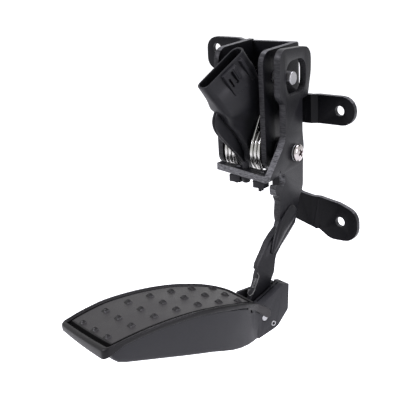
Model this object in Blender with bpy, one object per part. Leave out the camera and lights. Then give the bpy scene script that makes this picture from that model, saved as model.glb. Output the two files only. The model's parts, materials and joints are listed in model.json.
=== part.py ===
"""Hanging accelerator pedal: a sheet bracket with a rotary sensor, a sprung arm and a hinged foot pad.

Metres, +Z up, +Y towards the firewall, +X to the driver's right. The origin is on the mounting plane, on the
upper right ear's back face, level with that ear's stud hole. Everything is laid out from the pivot axis,
which runs along X, and the pad from its own hinge axis, which is yawed with the pad.
"""
import math

import bmesh
import bpy
from mathutils import Matrix, Vector

# Fits and clearances
TOUCH = 0.0003                 # gap between neighbouring pieces that touch
RUN = 0.0003                   # radial running clearance of a bush
BEND_STEP = 0.00005            # how far the formed strip lies inside the faces of the plate it grows from

# Mounting bracket
SHEET = 0.004                  # thickness of the bracket's sheet
MOUNT_DEPTH = 0.0307           # from the pivot axis to the mounting plane
STUD_HOLE_R = 0.00375          # hole for an M6 stud with room to shift
EAR_JOG = 0.0027               # how far the ears are set back from the back plate
EAR_JOG_RUN = 0.0042           # length of the sloping step
WALL_INSIDE = 0.033            # clear width between the two walls
WALL_TOP = 0.0745              # top edge of the walls above the pivot axis
WALL_BOTTOM = 0.0105           # bottom edge of the walls below the pivot axis
WALL_REACH = 0.0200            # how far the walls stand forward of the pivot axis
UPPER_EAR_Z = 0.02675          # height of the upper right stud hole above the pivot axis
UPPER_EAR_OUT = 0.0339         # from the right wall's outer face to the right stud holes
UPPER_EAR_R = 0.0106            # half its height
UPPER_EAR_END = 0.0122          # from its stud hole to its round end
LOWER_EAR_Z = -0.0567
LOWER_EAR_R = 0.0142
LEFT_EAR_Z = 0.0650
LEFT_EAR_OUT = 0.0296
LEFT_EAR_R = 0.0086
LEFT_EAR_DROP = 0.0155          # from its stud hole down to its lower edge
LEG_WIDTH = 0.0260             # width of the plate's leg that reaches down to the lower ear
DATUM_INBOARD = 0.0100         # from the right stud holes in to the origin

# Arm
ARM_SHEET = 0.005              # thickness of the arm's plate
ARM_GAP = 0.0075               # between the arm's inner face and the right wall
NECK_HALF = 0.0116             # half the width of the arm above the pivot
NECK_SHIFT = -0.0006           # the neck's middle, forward of the pivot axis
LOOP_RIM = 0.0080              # width of the loop's front and rear rims
LOOP_OVER = 0.0098             # height of its top rim
LOOP_UNDER = 0.0040            # from the window down to the loop's lower corners
LOOP_CORNER = 0.0140           # radius of its rear upper corner
WINDOW_CORNER = 0.0088
NOSE_FRONT = 0.0276            # foremost point of the nose under the flange
NOSE_LOW = -0.0250
SHANK_FRONT = 0.0212           # front edge of the shank under the nose
STRIP_TOP = -0.0405            # where the flat plate ends and the formed strip begins
TWIST_DEG = 20.0               # yaw of the arm's foot and of the pad
RIB_HEIGHT = 0.0026            # how far the formed rib stands out of the strip
RIB_MIDDLE = 0.60              # where it runs, as a share of the strip's width
RIB_REACH = 0.40               # half its width, as the same share

# Flange bent off the arm under the bracket
FLANGE_SHEET = ARM_SHEET
FLANGE_TOP = -0.0103           # its top face at the arm, from the pivot axis
FLANGE_TILT_DEG = 3.1          # how much it rises towards its left end
FLANGE_FRONT = 0.0334          # its front edge at the arm, forward of the axis
FLANGE_SWEEP = 0.0085          # how much further back the front edge is at the left end
FLANGE_REAR = 0.0212           # its rear edge at the arm
FLANGE_REAR_SWEEP = 0.0027
FLANGE_BEND = 0.0062           # outer radius of the bend
FLANGE_OVERHANG = 0.0025       # how far its left end reaches past the left wall
SLOT_UNDER = 0.0027            # relief slot between the flange's underside and the nose
SLOT_REAR = 0.0142             # its closed end, forward of the pivot axis
SLOT_CORNER = 0.0022

# Pivot
SHAFT_R = 0.005
BUSH_WALL = 0.0013
BUSH_FLANGE_R = 0.0095
BUSH_FLANGE = 0.0012
SCREW_HEAD_R = 0.00625
SCREW_HEAD_H = 0.0045
SCREW_R = 0.003
WASHER_R = 0.0071
WASHER_THICK = 0.001

# Stop pin in the right wall, inside the arm's window
STOP_R = 0.00475
STOP_RADIUS = 0.0552           # its distance from the pivot axis
STOP_FORWARD = 0.0053          # its distance forward of the pivot axis
STOP_PROUD = 0.003             # how far it stands out of the arm's outer face
STOP_INSIDE = 0.0040           # how far its riveted end stands out of the wall's inner face
STOP_BELOW = 0.0130            # from the pin's middle down to the window's lower edge
STOP_ABOVE = 0.0118            # and up to its upper edge
STOP_REST_GAP = 0.00035        # between the pin and the window's front edge at rest
STOP_FULL_GAP = 0.0014         # between the pin and the window's rear edge at full travel
ARM_TRAVEL_DEG = 16.0
STOP_SHANK_R = 0.0034

# Return springs, one on each side of the sensor
WIRE_R = 0.0014
COIL_R = 0.0172                # radius of the wire's centre line
COIL_TURNS = 2
COIL_PITCH = 0.0031
COIL_LEAVE_DEG = 33.0          # where the fixed leg leaves the coil, above the front

# Sensor between the walls
HUB_R = 0.0156
HUB_THICK = 0.0100
HUB_SOLID = 0.0064             # the housing's part of that thickness
ROTOR_R = 0.0088
SENSOR_YAW_DEG = 20.0
CONNECTOR_TILT_DEG = 34.0
CONNECTOR_LENGTH = 0.0420      # the mouth's long side, outside
CONNECTOR_WIDTH = 0.0140
CONNECTOR_WALL = 0.0016
CONNECTOR_DEPTH = 0.0210
TERMINALS = 6
TERMINAL_PITCH = 0.0052
TERMINAL_HALF = 0.0010
TERMINAL_BAR = 0.0012          # height of the strip that joins them on the socket's floor
TERMINAL_TALL = 0.0070

# Pad
TREAD_FRONT = -0.1388          # the tread's front edge, from the hinge axis
TREAD_CORNER = 0.0038          # radius of its front corners
TREAD_BOW = 0.0006             # how far the front edge bows out between them
TREAD_HALF = 0.0300            # half the tread's width at the front
TREAD_THICK = 0.0030            # height of its sides under the rim
TREAD_LIP = 0.0055              # and of its front edge
TREAD_LIP_FROM = -0.1250        # where it starts to grow towards the front
TREAD_SKEW = 0.066              # how far the front edge runs forward to the right, per width
TREAD_CROWN = 0.0270           # height of the tread's highest point over the hinge axis
TREAD_CROWN_AT = 0.0780        # how far forward of the hinge axis that point is
TREAD_FRONT_R = 0.266          # radius of the tread's curve in front of it
TREAD_REAR_R = 0.172           # and behind it
RIM_WIDTH = 0.0025              # width of the raised rim along the sides
RIM_AHEAD = 1.7                 # how much wider it is at the front
RIM_HEIGHT = 0.0009
GROOVE_WIDTH = 0.0020
GROOVE_DEPTH = 0.0010
STUD_PITCH = 0.0180
STUD_SPREAD = 0.0160
STUD_FIRST = 0.0104             # from the tread's front edge to the first row
STUD_LAST = 0.0130              # least distance from the last row to the tread's rear end
STUD_MARGIN = 0.0059            # least distance from a stud's middle to the groove
STUD_SIZE = 0.0046
STUD_HEIGHT = 0.0016
BLOCK_NEAR = 0.0110            # right face of the block around the hinge
BLOCK_FAR = 0.0084             # its left face
BLOCK_REAR = 0.0226            # its rear face, behind the hinge axis
BLOCK_TOP = 0.0205             # its highest point over the hinge axis
POCKET_NEAR = 0.0042           # the foot's pocket, right and left of the foot's middle
POCKET_FAR = 0.0060
POCKET_REAR = 0.0185
RIB_SLOT = 0.0012              # width of the slots in the block's top
RIB_SLOT_AT = 0.0067           # how far right of the foot's middle they lie
RIB_SLOT_DEEP = 0.0045
LUG_THICK = 0.0018             # ears of the tread that reach back along the block
HINGE_PIN_R = 0.0025
ROLL_PIN_R = 0.0020
ROLL_PIN_BORE = 0.0011
PAD_WIRE_R = 0.0004
PAD_COIL_R = 0.0013            # radius of the wire's centre line
PAD_COIL_TURNS = 9
PAD_COIL_PITCH = 0.0015

# Places that follow from the sizes above, seen from the pivot axis and the arm's outer face
ARM_INNER = -ARM_SHEET
RIGHT_OUTER = ARM_INNER - ARM_GAP
RIGHT_INNER = RIGHT_OUTER - SHEET
LEFT_INNER = RIGHT_INNER - WALL_INSIDE
LEFT_OUTER = LEFT_INNER - SHEET
MIDDLE = (RIGHT_INNER + LEFT_INNER) / 2
PLATE_REAR = MOUNT_DEPTH - EAR_JOG
PLATE_FRONT = PLATE_REAR - SHEET
STUD_X = RIGHT_OUTER + UPPER_EAR_OUT
LEFT_STUD_X = LEFT_OUTER - LEFT_EAR_OUT
BUSH_R = SHAFT_R + RUN + BUSH_WALL
STOP_Y = -STOP_FORWARD
STOP_Z = math.sqrt(STOP_RADIUS ** 2 - STOP_FORWARD ** 2)
STOP_TRAVEL = math.radians(ARM_TRAVEL_DEG)
WINDOW_LOW = STOP_Z - STOP_BELOW
WINDOW_HIGH = STOP_Z + STOP_ABOVE
WINDOW_FRONT = STOP_Y - STOP_R - STOP_REST_GAP
WINDOW_REAR = STOP_Y * math.cos(STOP_TRAVEL) + STOP_Z * math.sin(STOP_TRAVEL) + STOP_R + STOP_FULL_GAP
LOOP_FRONT = WINDOW_FRONT - LOOP_RIM
LOOP_REAR = WINDOW_REAR + LOOP_RIM
LOOP_TOP = WINDOW_HIGH + LOOP_OVER
LOOP_BOTTOM = WINDOW_LOW - LOOP_UNDER
NOSE_TOP = FLANGE_TOP - FLANGE_SHEET - SLOT_UNDER
HUB_LEFT = MIDDLE - HUB_THICK / 2
HUB_RIGHT = MIDDLE + HUB_THICK / 2
TWIST = math.radians(TWIST_DEG)
HINGE = Vector((-0.0047, -0.0526, -0.1050))


def material(name, colour, roughness, metallic=0.0):
    made = bpy.data.materials.new(name)
    made.use_nodes = True
    shader = made.node_tree.nodes["Principled BSDF"]
    shader.inputs["Base Color"].default_value = (*colour, 1.0)
    shader.inputs["Roughness"].default_value = roughness
    shader.inputs["Metallic"].default_value = metallic
    return made


def empty(name, parent, place, yaw=0.0):
    made = bpy.data.objects.new(name, None)
    bpy.context.collection.objects.link(made)
    made.parent = parent
    made.location = place
    made.rotation_euler = (0.0, 0.0, yaw)
    return made


def from_bmesh(name, work, parent, finish=None):
    """Store a bmesh as an object with outward faces; without a finish it is a cutter."""
    bmesh.ops.recalc_face_normals(work, faces=work.faces)
    mesh = bpy.data.meshes.new(name)
    work.to_mesh(mesh)
    work.free()
    made = bpy.data.objects.new(name, mesh)
    bpy.context.collection.objects.link(made)
    made.parent = parent
    if finish is None:
        made.hide_render = True
        made.display_type = 'WIRE'
    else:
        mesh.materials.append(finish)
        mesh.shade_smooth()
        mesh.set_sharp_from_angle(angle=math.radians(35))
    return made


def rounded(corners, steps=5):
    """Turn corners (a, b, radius) into an outline whose corners are arcs of that radius."""
    points = []
    count = len(corners)
    for i, (a, b, radius) in enumerate(corners):
        here = Vector((a, b))
        before = Vector(corners[i - 1][:2])
        after = Vector(corners[(i + 1) % count][:2])
        to_before = (before - here).normalized()
        to_after = (after - here).normalized()
        half = to_before.angle(to_after) / 2
        reach = radius / math.tan(half) if radius > 0 else 0.0
        reach = min(reach, 0.48 * (before - here).length, 0.48 * (after - here).length)
        if reach < 1e-6 or half > math.radians(88):
            points.append(here)
            continue
        real = reach * math.tan(half)
        centre = here + (to_before + to_after).normalized() * (real / math.sin(half))
        start = here + to_before * reach - centre
        sweep = math.pi - 2 * half
        side = 1.0 if start.y * to_before.x > start.x * to_before.y else -1.0
        for k in range(steps + 1):
            turn = side * sweep * k / steps
            cos, sin = math.cos(turn), math.sin(turn)
            points.append(centre + Vector((start.x * cos - start.y * sin, start.x * sin + start.y * cos)))
    return points


def placed(axis, a, b, along):
    """A point of an outline (a, b) at the distance along an axis."""
    if axis == 'X':
        return (along, a, b)
    if axis == 'Y':
        return (a, along, b)
    return (a, b, along)


def prism(name, parent, finish, outline, axis, low, high):
    work = bmesh.new()
    first = [work.verts.new(placed(axis, p[0], p[1], low)) for p in outline]
    second = [work.verts.new(placed(axis, p[0], p[1], high)) for p in outline]
    work.faces.new(first)
    work.faces.new(second[::-1])
    for i in range(len(outline)):
        j = (i + 1) % len(outline)
        work.faces.new((first[j], first[i], second[i], second[j]))
    return from_bmesh(name, work, parent, finish)


def circle(a, b, radius, sides=24):
    return [(a + radius * math.cos(2 * math.pi * k / sides),
             b + radius * math.sin(2 * math.pi * k / sides)) for k in range(sides)]


def loft(name, parent, finish, rings, closed=False):
    """Skin rings of equal count; the ends are capped, or joined when the loft is closed."""
    work = bmesh.new()
    rows = [[work.verts.new(p) for p in ring] for ring in rings]
    count = len(rows[0])
    pairs = list(zip(rows, rows[1:] + rows[:1])) if closed else list(zip(rows, rows[1:]))
    for one, two in pairs:
        for i in range(count):
            j = (i + 1) % count
            work.faces.new((one[i], one[j], two[j], two[i]))
    if not closed:
        work.faces.new(rows[0][::-1])
        work.faces.new(rows[-1])
    return from_bmesh(name, work, parent, finish)


def turned(name, parent, finish, profile, centre=(0.0, 0.0), sides=28, solid=True):
    """Revolve (x, radius) points about the X axis through centre (y, z)."""
    rings = []
    for x, radius in profile:
        rings.append([(x, centre[0] + radius * math.cos(2 * math.pi * k / sides),
                       centre[1] + radius * math.sin(2 * math.pi * k / sides)) for k in range(sides)])
    return loft(name, parent, finish, rings, closed=not solid)


def tube(name, parent, finish, low, high, inner, outer, centre=(0.0, 0.0), sides=28):
    profile = [(low, inner), (low, outer), (high, outer), (high, inner)]
    return turned(name, parent, finish, profile, centre, sides, solid=False)


def swept(name, parent, finish, path, radius, sides=8):
    """A round wire along a path, its frame carried along without twist."""
    points = [Vector(p) for p in path]
    start = points[1] - points[0]
    side = Vector((0.0, 0.0, 1.0)) if abs(start.x) > abs(start.z) else Vector((1.0, 0.0, 0.0))
    rings = []
    for i, point in enumerate(points):
        ahead = points[min(i + 1, len(points) - 1)] - points[max(i - 1, 0)]
        ahead.normalize()
        side = (side - ahead * side.dot(ahead)).normalized()
        up = ahead.cross(side)
        rings.append([point + side * (radius * math.cos(2 * math.pi * k / sides))
                      + up * (radius * math.sin(2 * math.pi * k / sides)) for k in range(sides)])
    return loft(name, parent, finish, rings)


def boolean(target, tool, operation):
    step = target.modifiers.new(operation.lower(), 'BOOLEAN')
    step.operation = operation
    step.object = tool
    step.solver = 'EXACT'
    tool.hide_render = True
    tool.display_type = 'WIRE'


def cut(target, tool):
    boolean(target, tool, 'DIFFERENCE')


def weld(target, tool):
    boolean(target, tool, 'UNION')


def jog(work, start, end, shift):
    """Step the plate back by shift between two X planes; start is nearer the walls."""
    for x in (start, end):
        geom = work.verts[:] + work.edges[:] + work.faces[:]
        bmesh.ops.bisect_plane(work, geom=geom, plane_co=(x, 0, 0), plane_no=(1, 0, 0), dist=1e-7)
    beyond = 1.0 if end > start else -1.0
    for vert in work.verts:
        if (vert.co.x - end) * beyond > -1e-6:
            vert.co.y += shift


def mount_bracket(parent, finish):
    leg = RIGHT_OUTER - LEG_WIDTH
    plate = prism("plate_blank", parent, None, rounded([
        (LEFT_STUD_X + 2 * LEFT_EAR_R, LEFT_EAR_Z + LEFT_EAR_R + 0.0004, 0.02),
        (LEFT_OUTER, WALL_TOP - 0.0012, 0.01),
        (RIGHT_OUTER, WALL_TOP, 0.0015),
        (RIGHT_OUTER, UPPER_EAR_Z + UPPER_EAR_R, 0.003),
        (STUD_X + UPPER_EAR_END, UPPER_EAR_Z + UPPER_EAR_R, UPPER_EAR_R),
        (STUD_X + UPPER_EAR_END, UPPER_EAR_Z - UPPER_EAR_R, UPPER_EAR_R),
        (RIGHT_OUTER, UPPER_EAR_Z - UPPER_EAR_R, 0.003),
        (RIGHT_OUTER, LOWER_EAR_Z + 0.0199, 0.004),
        (STUD_X - 0.001, LOWER_EAR_Z + LOWER_EAR_R - 0.0002, 0.013),
        (STUD_X + LOWER_EAR_R, LOWER_EAR_Z + LOWER_EAR_R - 0.0060, 0.013),
        (STUD_X + LOWER_EAR_R, LOWER_EAR_Z - LOWER_EAR_R, LOWER_EAR_R),
        (STUD_X - 0.008, LOWER_EAR_Z - LOWER_EAR_R, 0.013),
        (STUD_X - 0.019, LOWER_EAR_Z - 0.0068, 0.018),
        (RIGHT_OUTER - 0.006, LOWER_EAR_Z - 0.0004, 0.010),
        (leg, LOWER_EAR_Z + 0.0062, 0.012),
        (leg, -WALL_BOTTOM, 0.008),
        (LEFT_OUTER, -WALL_BOTTOM, 0.004),
        (LEFT_OUTER, LEFT_EAR_Z - LEFT_EAR_DROP - 0.003, 0.006),
        (LEFT_STUD_X - LEFT_EAR_R, LEFT_EAR_Z - LEFT_EAR_DROP, LEFT_EAR_R),
        (LEFT_STUD_X - LEFT_EAR_R, LEFT_EAR_Z + LEFT_EAR_R, LEFT_EAR_R),
    ]), 'Y', PLATE_FRONT, PLATE_REAR)
    work = bmesh.new()
    work.from_mesh(plate.data)
    bpy.data.objects.remove(plate)
    jog_at = RIGHT_OUTER + 0.0120
    jog(work, jog_at, jog_at + EAR_JOG_RUN, EAR_JOG)
    jog(work, LEFT_OUTER - 0.0050, LEFT_OUTER - 0.0050 - EAR_JOG_RUN, EAR_JOG)
    bmesh.ops.triangulate(work, faces=work.faces)
    bracket = from_bmesh("mount_bracket", work, parent, finish)
    wall = rounded([
        (-WALL_REACH - 0.001, WALL_TOP, 0.009),
        (PLATE_FRONT + SHEET / 2, WALL_TOP, 0.0),
        (PLATE_FRONT + SHEET / 2, -WALL_BOTTOM, 0.0),
        (-WALL_REACH + 0.0015, -WALL_BOTTOM, 0.008),
    ])
    for side, low, high in (("left", LEFT_OUTER, LEFT_INNER), ("right", RIGHT_INNER, RIGHT_OUTER)):
        weld(bracket, prism("wall_" + side, parent, None, wall, 'X', low, high))
        cut(bracket, turned("bush_hole_" + side, parent, None,
                            [(low - SHEET, BUSH_R + TOUCH), (high + SHEET, BUSH_R + TOUCH)]))
    cut(bracket, turned("stop_hole", parent, None,
                        [(RIGHT_INNER - SHEET, STOP_SHANK_R + TOUCH), (RIGHT_OUTER + SHEET, STOP_SHANK_R + TOUCH)],
                        (STOP_Y, STOP_Z)))
    for name, x, z in (("upper", STUD_X, UPPER_EAR_Z), ("lower", STUD_X, LOWER_EAR_Z),
                       ("left", LEFT_STUD_X, LEFT_EAR_Z)):
        cut(bracket, prism("stud_hole_" + name, parent, None, circle(x, z, STUD_HOLE_R), 'Y',
                           PLATE_FRONT - SHEET, MOUNT_DEPTH + SHEET))
    return bracket


def foot_point(side, along, up):
    """A point given from the pad's hinge: to the right, towards the firewall and up."""
    return HINGE + Vector((side * math.cos(TWIST) + along * math.sin(TWIST),
                           along * math.cos(TWIST) - side * math.sin(TWIST), up))


SLOPE_START = (-0.0172, 0.0060)    # where the neck's front edge turns towards the flange's front corner
FOOT_STATIONS = (                  # the foot's front and rear edges from the hinge, and the height over it
    (0.0034, 0.0186, 0.0360), (0.0029, 0.0180, 0.0322), (0.0041, 0.0178, 0.0310), (0.0026, 0.0172, 0.0270),
    (0.0019, 0.0154, 0.0235), (0.0006, 0.0138, 0.0200), (-0.0016, 0.0126, 0.0155), (-0.0036, 0.0112, 0.0100),
    (-0.0050, 0.0082, 0.0040), (-0.0052, 0.0058, -0.0010), (-0.0045, 0.0041, -0.0034),
    (-0.0025, 0.0019, -0.0058))


def slope_y(z):
    """Y of the arm's sloping front edge at height z, which ends at the flange's front corner."""
    share = (SLOPE_START[1] - z) / (SLOPE_START[1] - FLANGE_TOP)
    return SLOPE_START[0] + share * (-FLANGE_FRONT - SLOPE_START[0])


def strip_ring(front, rear, relief, thick, across=8):
    """A section of the formed strip between its front and rear edges, with a round rib on its rear part."""
    flat = Vector((rear.x - front.x, rear.y - front.y, 0.0)).normalized()
    normal = Vector((flat.y, -flat.x, 0.0))
    outer = []
    for k in range(across + 1):
        share = k / across
        bump = math.sqrt(max(0.0, 1 - ((share - RIB_MIDDLE) / RIB_REACH) ** 2))
        outer.append(front.lerp(rear, share) + normal * (relief * bump - BEND_STEP))
    inner = [p - normal * (thick - 2 * BEND_STEP) for p in reversed(outer)]
    return outer + inner


def pedal_arm(parent, finish):
    rear = NECK_SHIFT + NECK_HALF
    front = NECK_SHIFT - NECK_HALF
    arm = prism("pedal_arm", parent, finish, rounded([
        (LOOP_FRONT, LOOP_TOP, 0.008),
        (LOOP_REAR, LOOP_TOP - 0.0034, LOOP_CORNER),
        (LOOP_REAR - 0.0005, LOOP_BOTTOM + 0.017, 0.030),
        (LOOP_REAR - 0.0052, LOOP_BOTTOM, 0.0035),
        (rear, LOOP_BOTTOM - 0.0006, 0.0012),
        (rear, 0.013, 0.020),
        (rear + 0.0014, 0.003, 0.012),
        (rear, -0.010, 0.020),
        (rear - 0.0006, -0.028, 0.010),
        (rear - 0.0062, -0.0345, 0.010),
        (rear - 0.0092, STRIP_TOP - 0.002, 0.0),
        (-SHANK_FRONT - 0.0002, STRIP_TOP, 0.0),
        (-SHANK_FRONT, NOSE_LOW - 0.0022, 0.003),
        (-NOSE_FRONT + 0.0002, NOSE_LOW, 0.0032),
        (-NOSE_FRONT, NOSE_TOP, SLOT_CORNER),
        (-SLOT_REAR, NOSE_TOP + 0.0006, SLOT_CORNER),
        (-SLOT_REAR, FLANGE_TOP - 0.0012, SLOT_CORNER),
        (-FLANGE_REAR + SLOT_CORNER - 0.0002, FLANGE_TOP - 0.0012, 0.0018),
        (-FLANGE_REAR + 0.0012, FLANGE_TOP + 0.0020, 0.0),
        (slope_y(FLANGE_TOP + 0.0020), FLANGE_TOP + 0.0020, 0.0),
        (*SLOPE_START, 0.006),
        (front, 0.0130, 0.010),
        (front, LOOP_BOTTOM - 0.0012, 0.005),
        (LOOP_FRONT, LOOP_BOTTOM + 0.0050, 0.006),
    ]), 'X', ARM_INNER, 0.0)
    thick = ARM_SHEET
    rings = []
    for fy, fz, ry, rz, fx, rx, relief in (
            (-0.0212, -0.0386, 0.0018, -0.0404, 0.0, 0.0, 0.0),
            (-0.0214, -0.0418, 0.0012, -0.0436, 0.0, 0.0, 0.1),
            (-0.0217, -0.0458, 0.0004, -0.0470, 0.0, 0.0, 0.85),
            (-0.0236, -0.0494, -0.0038, -0.0512, 0.0, 0.0002, 1.0),
            (-0.0312, -0.0528, -0.0134, -0.0572, -0.0001, 0.0010, 1.0),
            (-0.0378, -0.0568, -0.0216, -0.0622, -0.0004, 0.0021, 0.9),
            (-0.0424, -0.0620, -0.0274, -0.0662, -0.0009, 0.0033, 0.4)):
        rings.append(strip_ring(Vector((fx, fy, fz)), Vector((rx, ry, rz)), RIB_HEIGHT * relief, thick))
    foot = thick / 2
    for low, high, up in FOOT_STATIONS:
        rings.append(strip_ring(foot_point(foot, low, up), foot_point(foot, high, up), 0.0, thick))
    weld(arm, loft("formed_strip", parent, None, rings))
    weld(arm, flange(parent))
    cut(arm, prism("window", parent, None, rounded([
        (WINDOW_FRONT, WINDOW_LOW, WINDOW_CORNER),
        (WINDOW_REAR, WINDOW_LOW, WINDOW_CORNER),
        (WINDOW_REAR + 0.0006, WINDOW_HIGH, WINDOW_CORNER),
        (WINDOW_FRONT, WINDOW_HIGH, WINDOW_CORNER),
    ]), 'X', 2 * ARM_INNER, ARM_SHEET))
    cut(arm, turned("shaft_hole", parent, None, [(2 * ARM_INNER, SHAFT_R + TOUCH), (ARM_SHEET, SHAFT_R + TOUCH)]))
    hole = [foot_point(x, 0.0, 0.0) for x in (-ARM_SHEET, ARM_SHEET)]
    cut(arm, swept("pin_hole", parent, None, hole, HINGE_PIN_R + 0.0015, 20))
    for tool in seat_holes(parent):
        cut(arm, tool)
    return arm


def flange_top(x):
    """Height of the flange's top face at x, which rises towards the left end."""
    return FLANGE_TOP + (ARM_INNER - x) * math.tan(math.radians(FLANGE_TILT_DEG))


FLANGE_END = LEFT_OUTER + FLANGE_OVERHANG


def flange_line(x, at_arm, sweep):
    """Y of the flange's front or rear edge at x."""
    return -at_arm + sweep * (ARM_INNER - x) / (ARM_INNER - FLANGE_END)


def flange(parent):
    """The flange as an L of sheet with a rounded bend, cut to its swept outline."""
    end = FLANGE_END
    body = prism("flange_sheet", parent, None, rounded([
        (end, flange_top(end), 0.0),
        (ARM_INNER, flange_top(ARM_INNER), 0.0015),
        (ARM_INNER, FLANGE_TOP + 0.006, 0.0),
        (-BEND_STEP, FLANGE_TOP + 0.006, 0.0),
        (-BEND_STEP, FLANGE_TOP - FLANGE_SHEET, FLANGE_BEND),
        (end, flange_top(end) - FLANGE_SHEET, 0.0),
    ]), 'Y', -FLANGE_FRONT - 0.006, 0.0)
    boolean(body, prism("flange_plan", parent, None, [
        (end - 0.001, flange_line(end - 0.001, FLANGE_FRONT, FLANGE_SWEEP)),
        (ARM_INNER, flange_line(ARM_INNER, FLANGE_FRONT, FLANGE_SWEEP)),
        (0.001, -FLANGE_FRONT),
        (0.001, -FLANGE_REAR),
        (ARM_INNER, flange_line(ARM_INNER, FLANGE_REAR, FLANGE_REAR_SWEEP)),
        (end - 0.001, flange_line(end - 0.001, FLANGE_REAR, FLANGE_REAR_SWEEP)),
    ], 'Z', -0.03, 0.01), 'INTERSECT')
    cut(body, prism("flange_slope", parent, None, [
        SLOPE_START, (-FLANGE_FRONT - 0.0001, FLANGE_TOP), (-FLANGE_FRONT - 0.01, FLANGE_TOP),
        (-FLANGE_FRONT - 0.01, SLOPE_START[1])], 'X', ARM_INNER - 0.0001, 0.001))
    return body


LEG_Z = 0.0530                 # height of the hole that takes a return spring's fixed leg
SPRING_START = {"left": LEFT_INNER + 0.0018, "right": HUB_RIGHT + 0.0019}
SEAT_HALF = 0.0046
SPRING_TRAVEL = COIL_PITCH * (COIL_TURNS + (COIL_LEAVE_DEG + 15.0) / 360.0)
SEATS = tuple((side, at + SPRING_TRAVEL + 0.0021 + SEAT_HALF) for side, at in SPRING_START.items())
SEAT_STEM_R = 0.0022
SEAT_WIRE_DROP = 0.0028        # from the flange's underside down to the wire in the seat
SEAT_HEIGHT = 0.0050
SEAT_LEGS = {"left": 0.0012, "right": 0.0030}   # how far the seats' snap legs show under them
PEG_X = -0.0262
PEG_R = 0.0021


def seat_y(x):
    return (flange_line(x, FLANGE_FRONT, FLANGE_SWEEP) + flange_line(x, FLANGE_REAR, FLANGE_REAR_SWEEP)) / 2


def seat_holes(parent):
    tools = []
    for name, x, radius in (*((n, x, SEAT_STEM_R) for n, x in SEATS), ("peg", PEG_X, PEG_R)):
        tools.append(prism("flange_hole_" + name, parent, None, circle(x, seat_y(x), radius + TOUCH, 16), 'Z',
                           -0.03, 0.0))
    return tools


def stop_pin(parent, finish):
    """A headed pin riveted through the right wall; its wide end stands in the arm's window."""
    return turned("stop_pin", parent, finish, [
        (RIGHT_INNER - STOP_INSIDE, STOP_R - 0.0010), (RIGHT_INNER - STOP_INSIDE + 0.0006, STOP_R - 0.0003),
        (RIGHT_INNER - TOUCH, STOP_R - 0.0003), (RIGHT_INNER - TOUCH, STOP_SHANK_R),
        (RIGHT_OUTER + TOUCH, STOP_SHANK_R), (RIGHT_OUTER + TOUCH, STOP_R),
        (STOP_PROUD - 0.0006, STOP_R), (STOP_PROUD, STOP_R - 0.0006)], (STOP_Y, STOP_Z))


CLIP_R = 0.0085
CLIP_THICK = 0.0010
GROOVE_R = 0.0042
BUSH_LEFT_END = LEFT_OUTER - TOUCH - BUSH_FLANGE
CLIP_LEFT = BUSH_LEFT_END - TOUCH - CLIP_THICK
BUSH_RIGHT_END = RIGHT_OUTER + TOUCH + BUSH_FLANGE
SHAFT_END = -0.0006
SHAFT_BORE_DEPTH = 0.0135


def pivot_line(fixed, moving, steel, plastic, bright):
    """The pieces on the pivot axis."""
    for side, low, high, out in (("left", LEFT_OUTER, LEFT_INNER, -1), ("right", RIGHT_OUTER, RIGHT_INNER, 1)):
        face = low + out * TOUCH
        end = high - out * TOUCH
        inner = SHAFT_R + RUN
        turned("shaft_bush_" + side, fixed, plastic, [
            (end, inner), (end, BUSH_R), (face, BUSH_R), (face, BUSH_FLANGE_R),
            (face + out * BUSH_FLANGE, BUSH_FLANGE_R), (face + out * BUSH_FLANGE, inner)], solid=False)
    turned("pivot_shaft", moving, steel, [
        (CLIP_LEFT - 0.0018, SHAFT_R - 0.0008), (CLIP_LEFT - 0.0010, SHAFT_R),
        (CLIP_LEFT - 0.0002, SHAFT_R), (CLIP_LEFT - 0.0002, GROOVE_R),
        (CLIP_LEFT + CLIP_THICK + 0.0002, GROOVE_R), (CLIP_LEFT + CLIP_THICK + 0.0002, SHAFT_R),
        (SHAFT_END, SHAFT_R), (SHAFT_END, SCREW_R + TOUCH),
        (SHAFT_END - SHAFT_BORE_DEPTH, SCREW_R + TOUCH)])
    clip = tube("shaft_clip", moving, steel, CLIP_LEFT, CLIP_LEFT + CLIP_THICK, GROOVE_R + TOUCH, CLIP_R)
    cut(clip, prism("clip_mouth", moving, None, rounded([
        (-0.0030, -0.0100, 0.0), (0.0030, -0.0100, 0.0), (0.0030, 0.0, 0.0), (-0.0030, 0.0, 0.0)]),
        'X', CLIP_LEFT - 0.001, CLIP_LEFT + CLIP_THICK + 0.001))
    tube("arm_spacer", moving, steel, BUSH_RIGHT_END + TOUCH, ARM_INNER - TOUCH, SHAFT_R + TOUCH, BUSH_FLANGE_R - 0.0006)
    tube("pivot_washer", moving, steel, TOUCH, TOUCH + WASHER_THICK, SCREW_R + TOUCH, WASHER_R)
    under = 2 * TOUCH + WASHER_THICK
    screw = turned("pivot_screw", moving, bright, [
        (SHAFT_END - SHAFT_BORE_DEPTH + 0.0012, SCREW_R - 0.0005), (SHAFT_END - SHAFT_BORE_DEPTH + 0.0018, SCREW_R),
        (under, SCREW_R), (under, SCREW_HEAD_R - 0.0002), (under + 0.0014, SCREW_HEAD_R),
        (under + 0.0028, SCREW_HEAD_R - 0.0006), (under + 0.0039, SCREW_HEAD_R - 0.0020),
        (under + SCREW_HEAD_H, SCREW_HEAD_R - 0.0038)])
    arm = 0.0032
    half = 0.0008
    for name, angle in (("one", 20.0), ("two", 110.0)):
        turn = math.radians(angle)
        along = Vector((math.cos(turn), math.sin(turn)))
        across = Vector((-along.y, along.x))
        outline = [along * (arm * a) + across * (half * b) for a, b in ((-1, -1), (1, -1), (1, 1), (-1, 1))]
        cut(screw, prism("recess_" + name, moving, None, outline, 'X', under + 0.0022, under + 0.0060))


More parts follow.
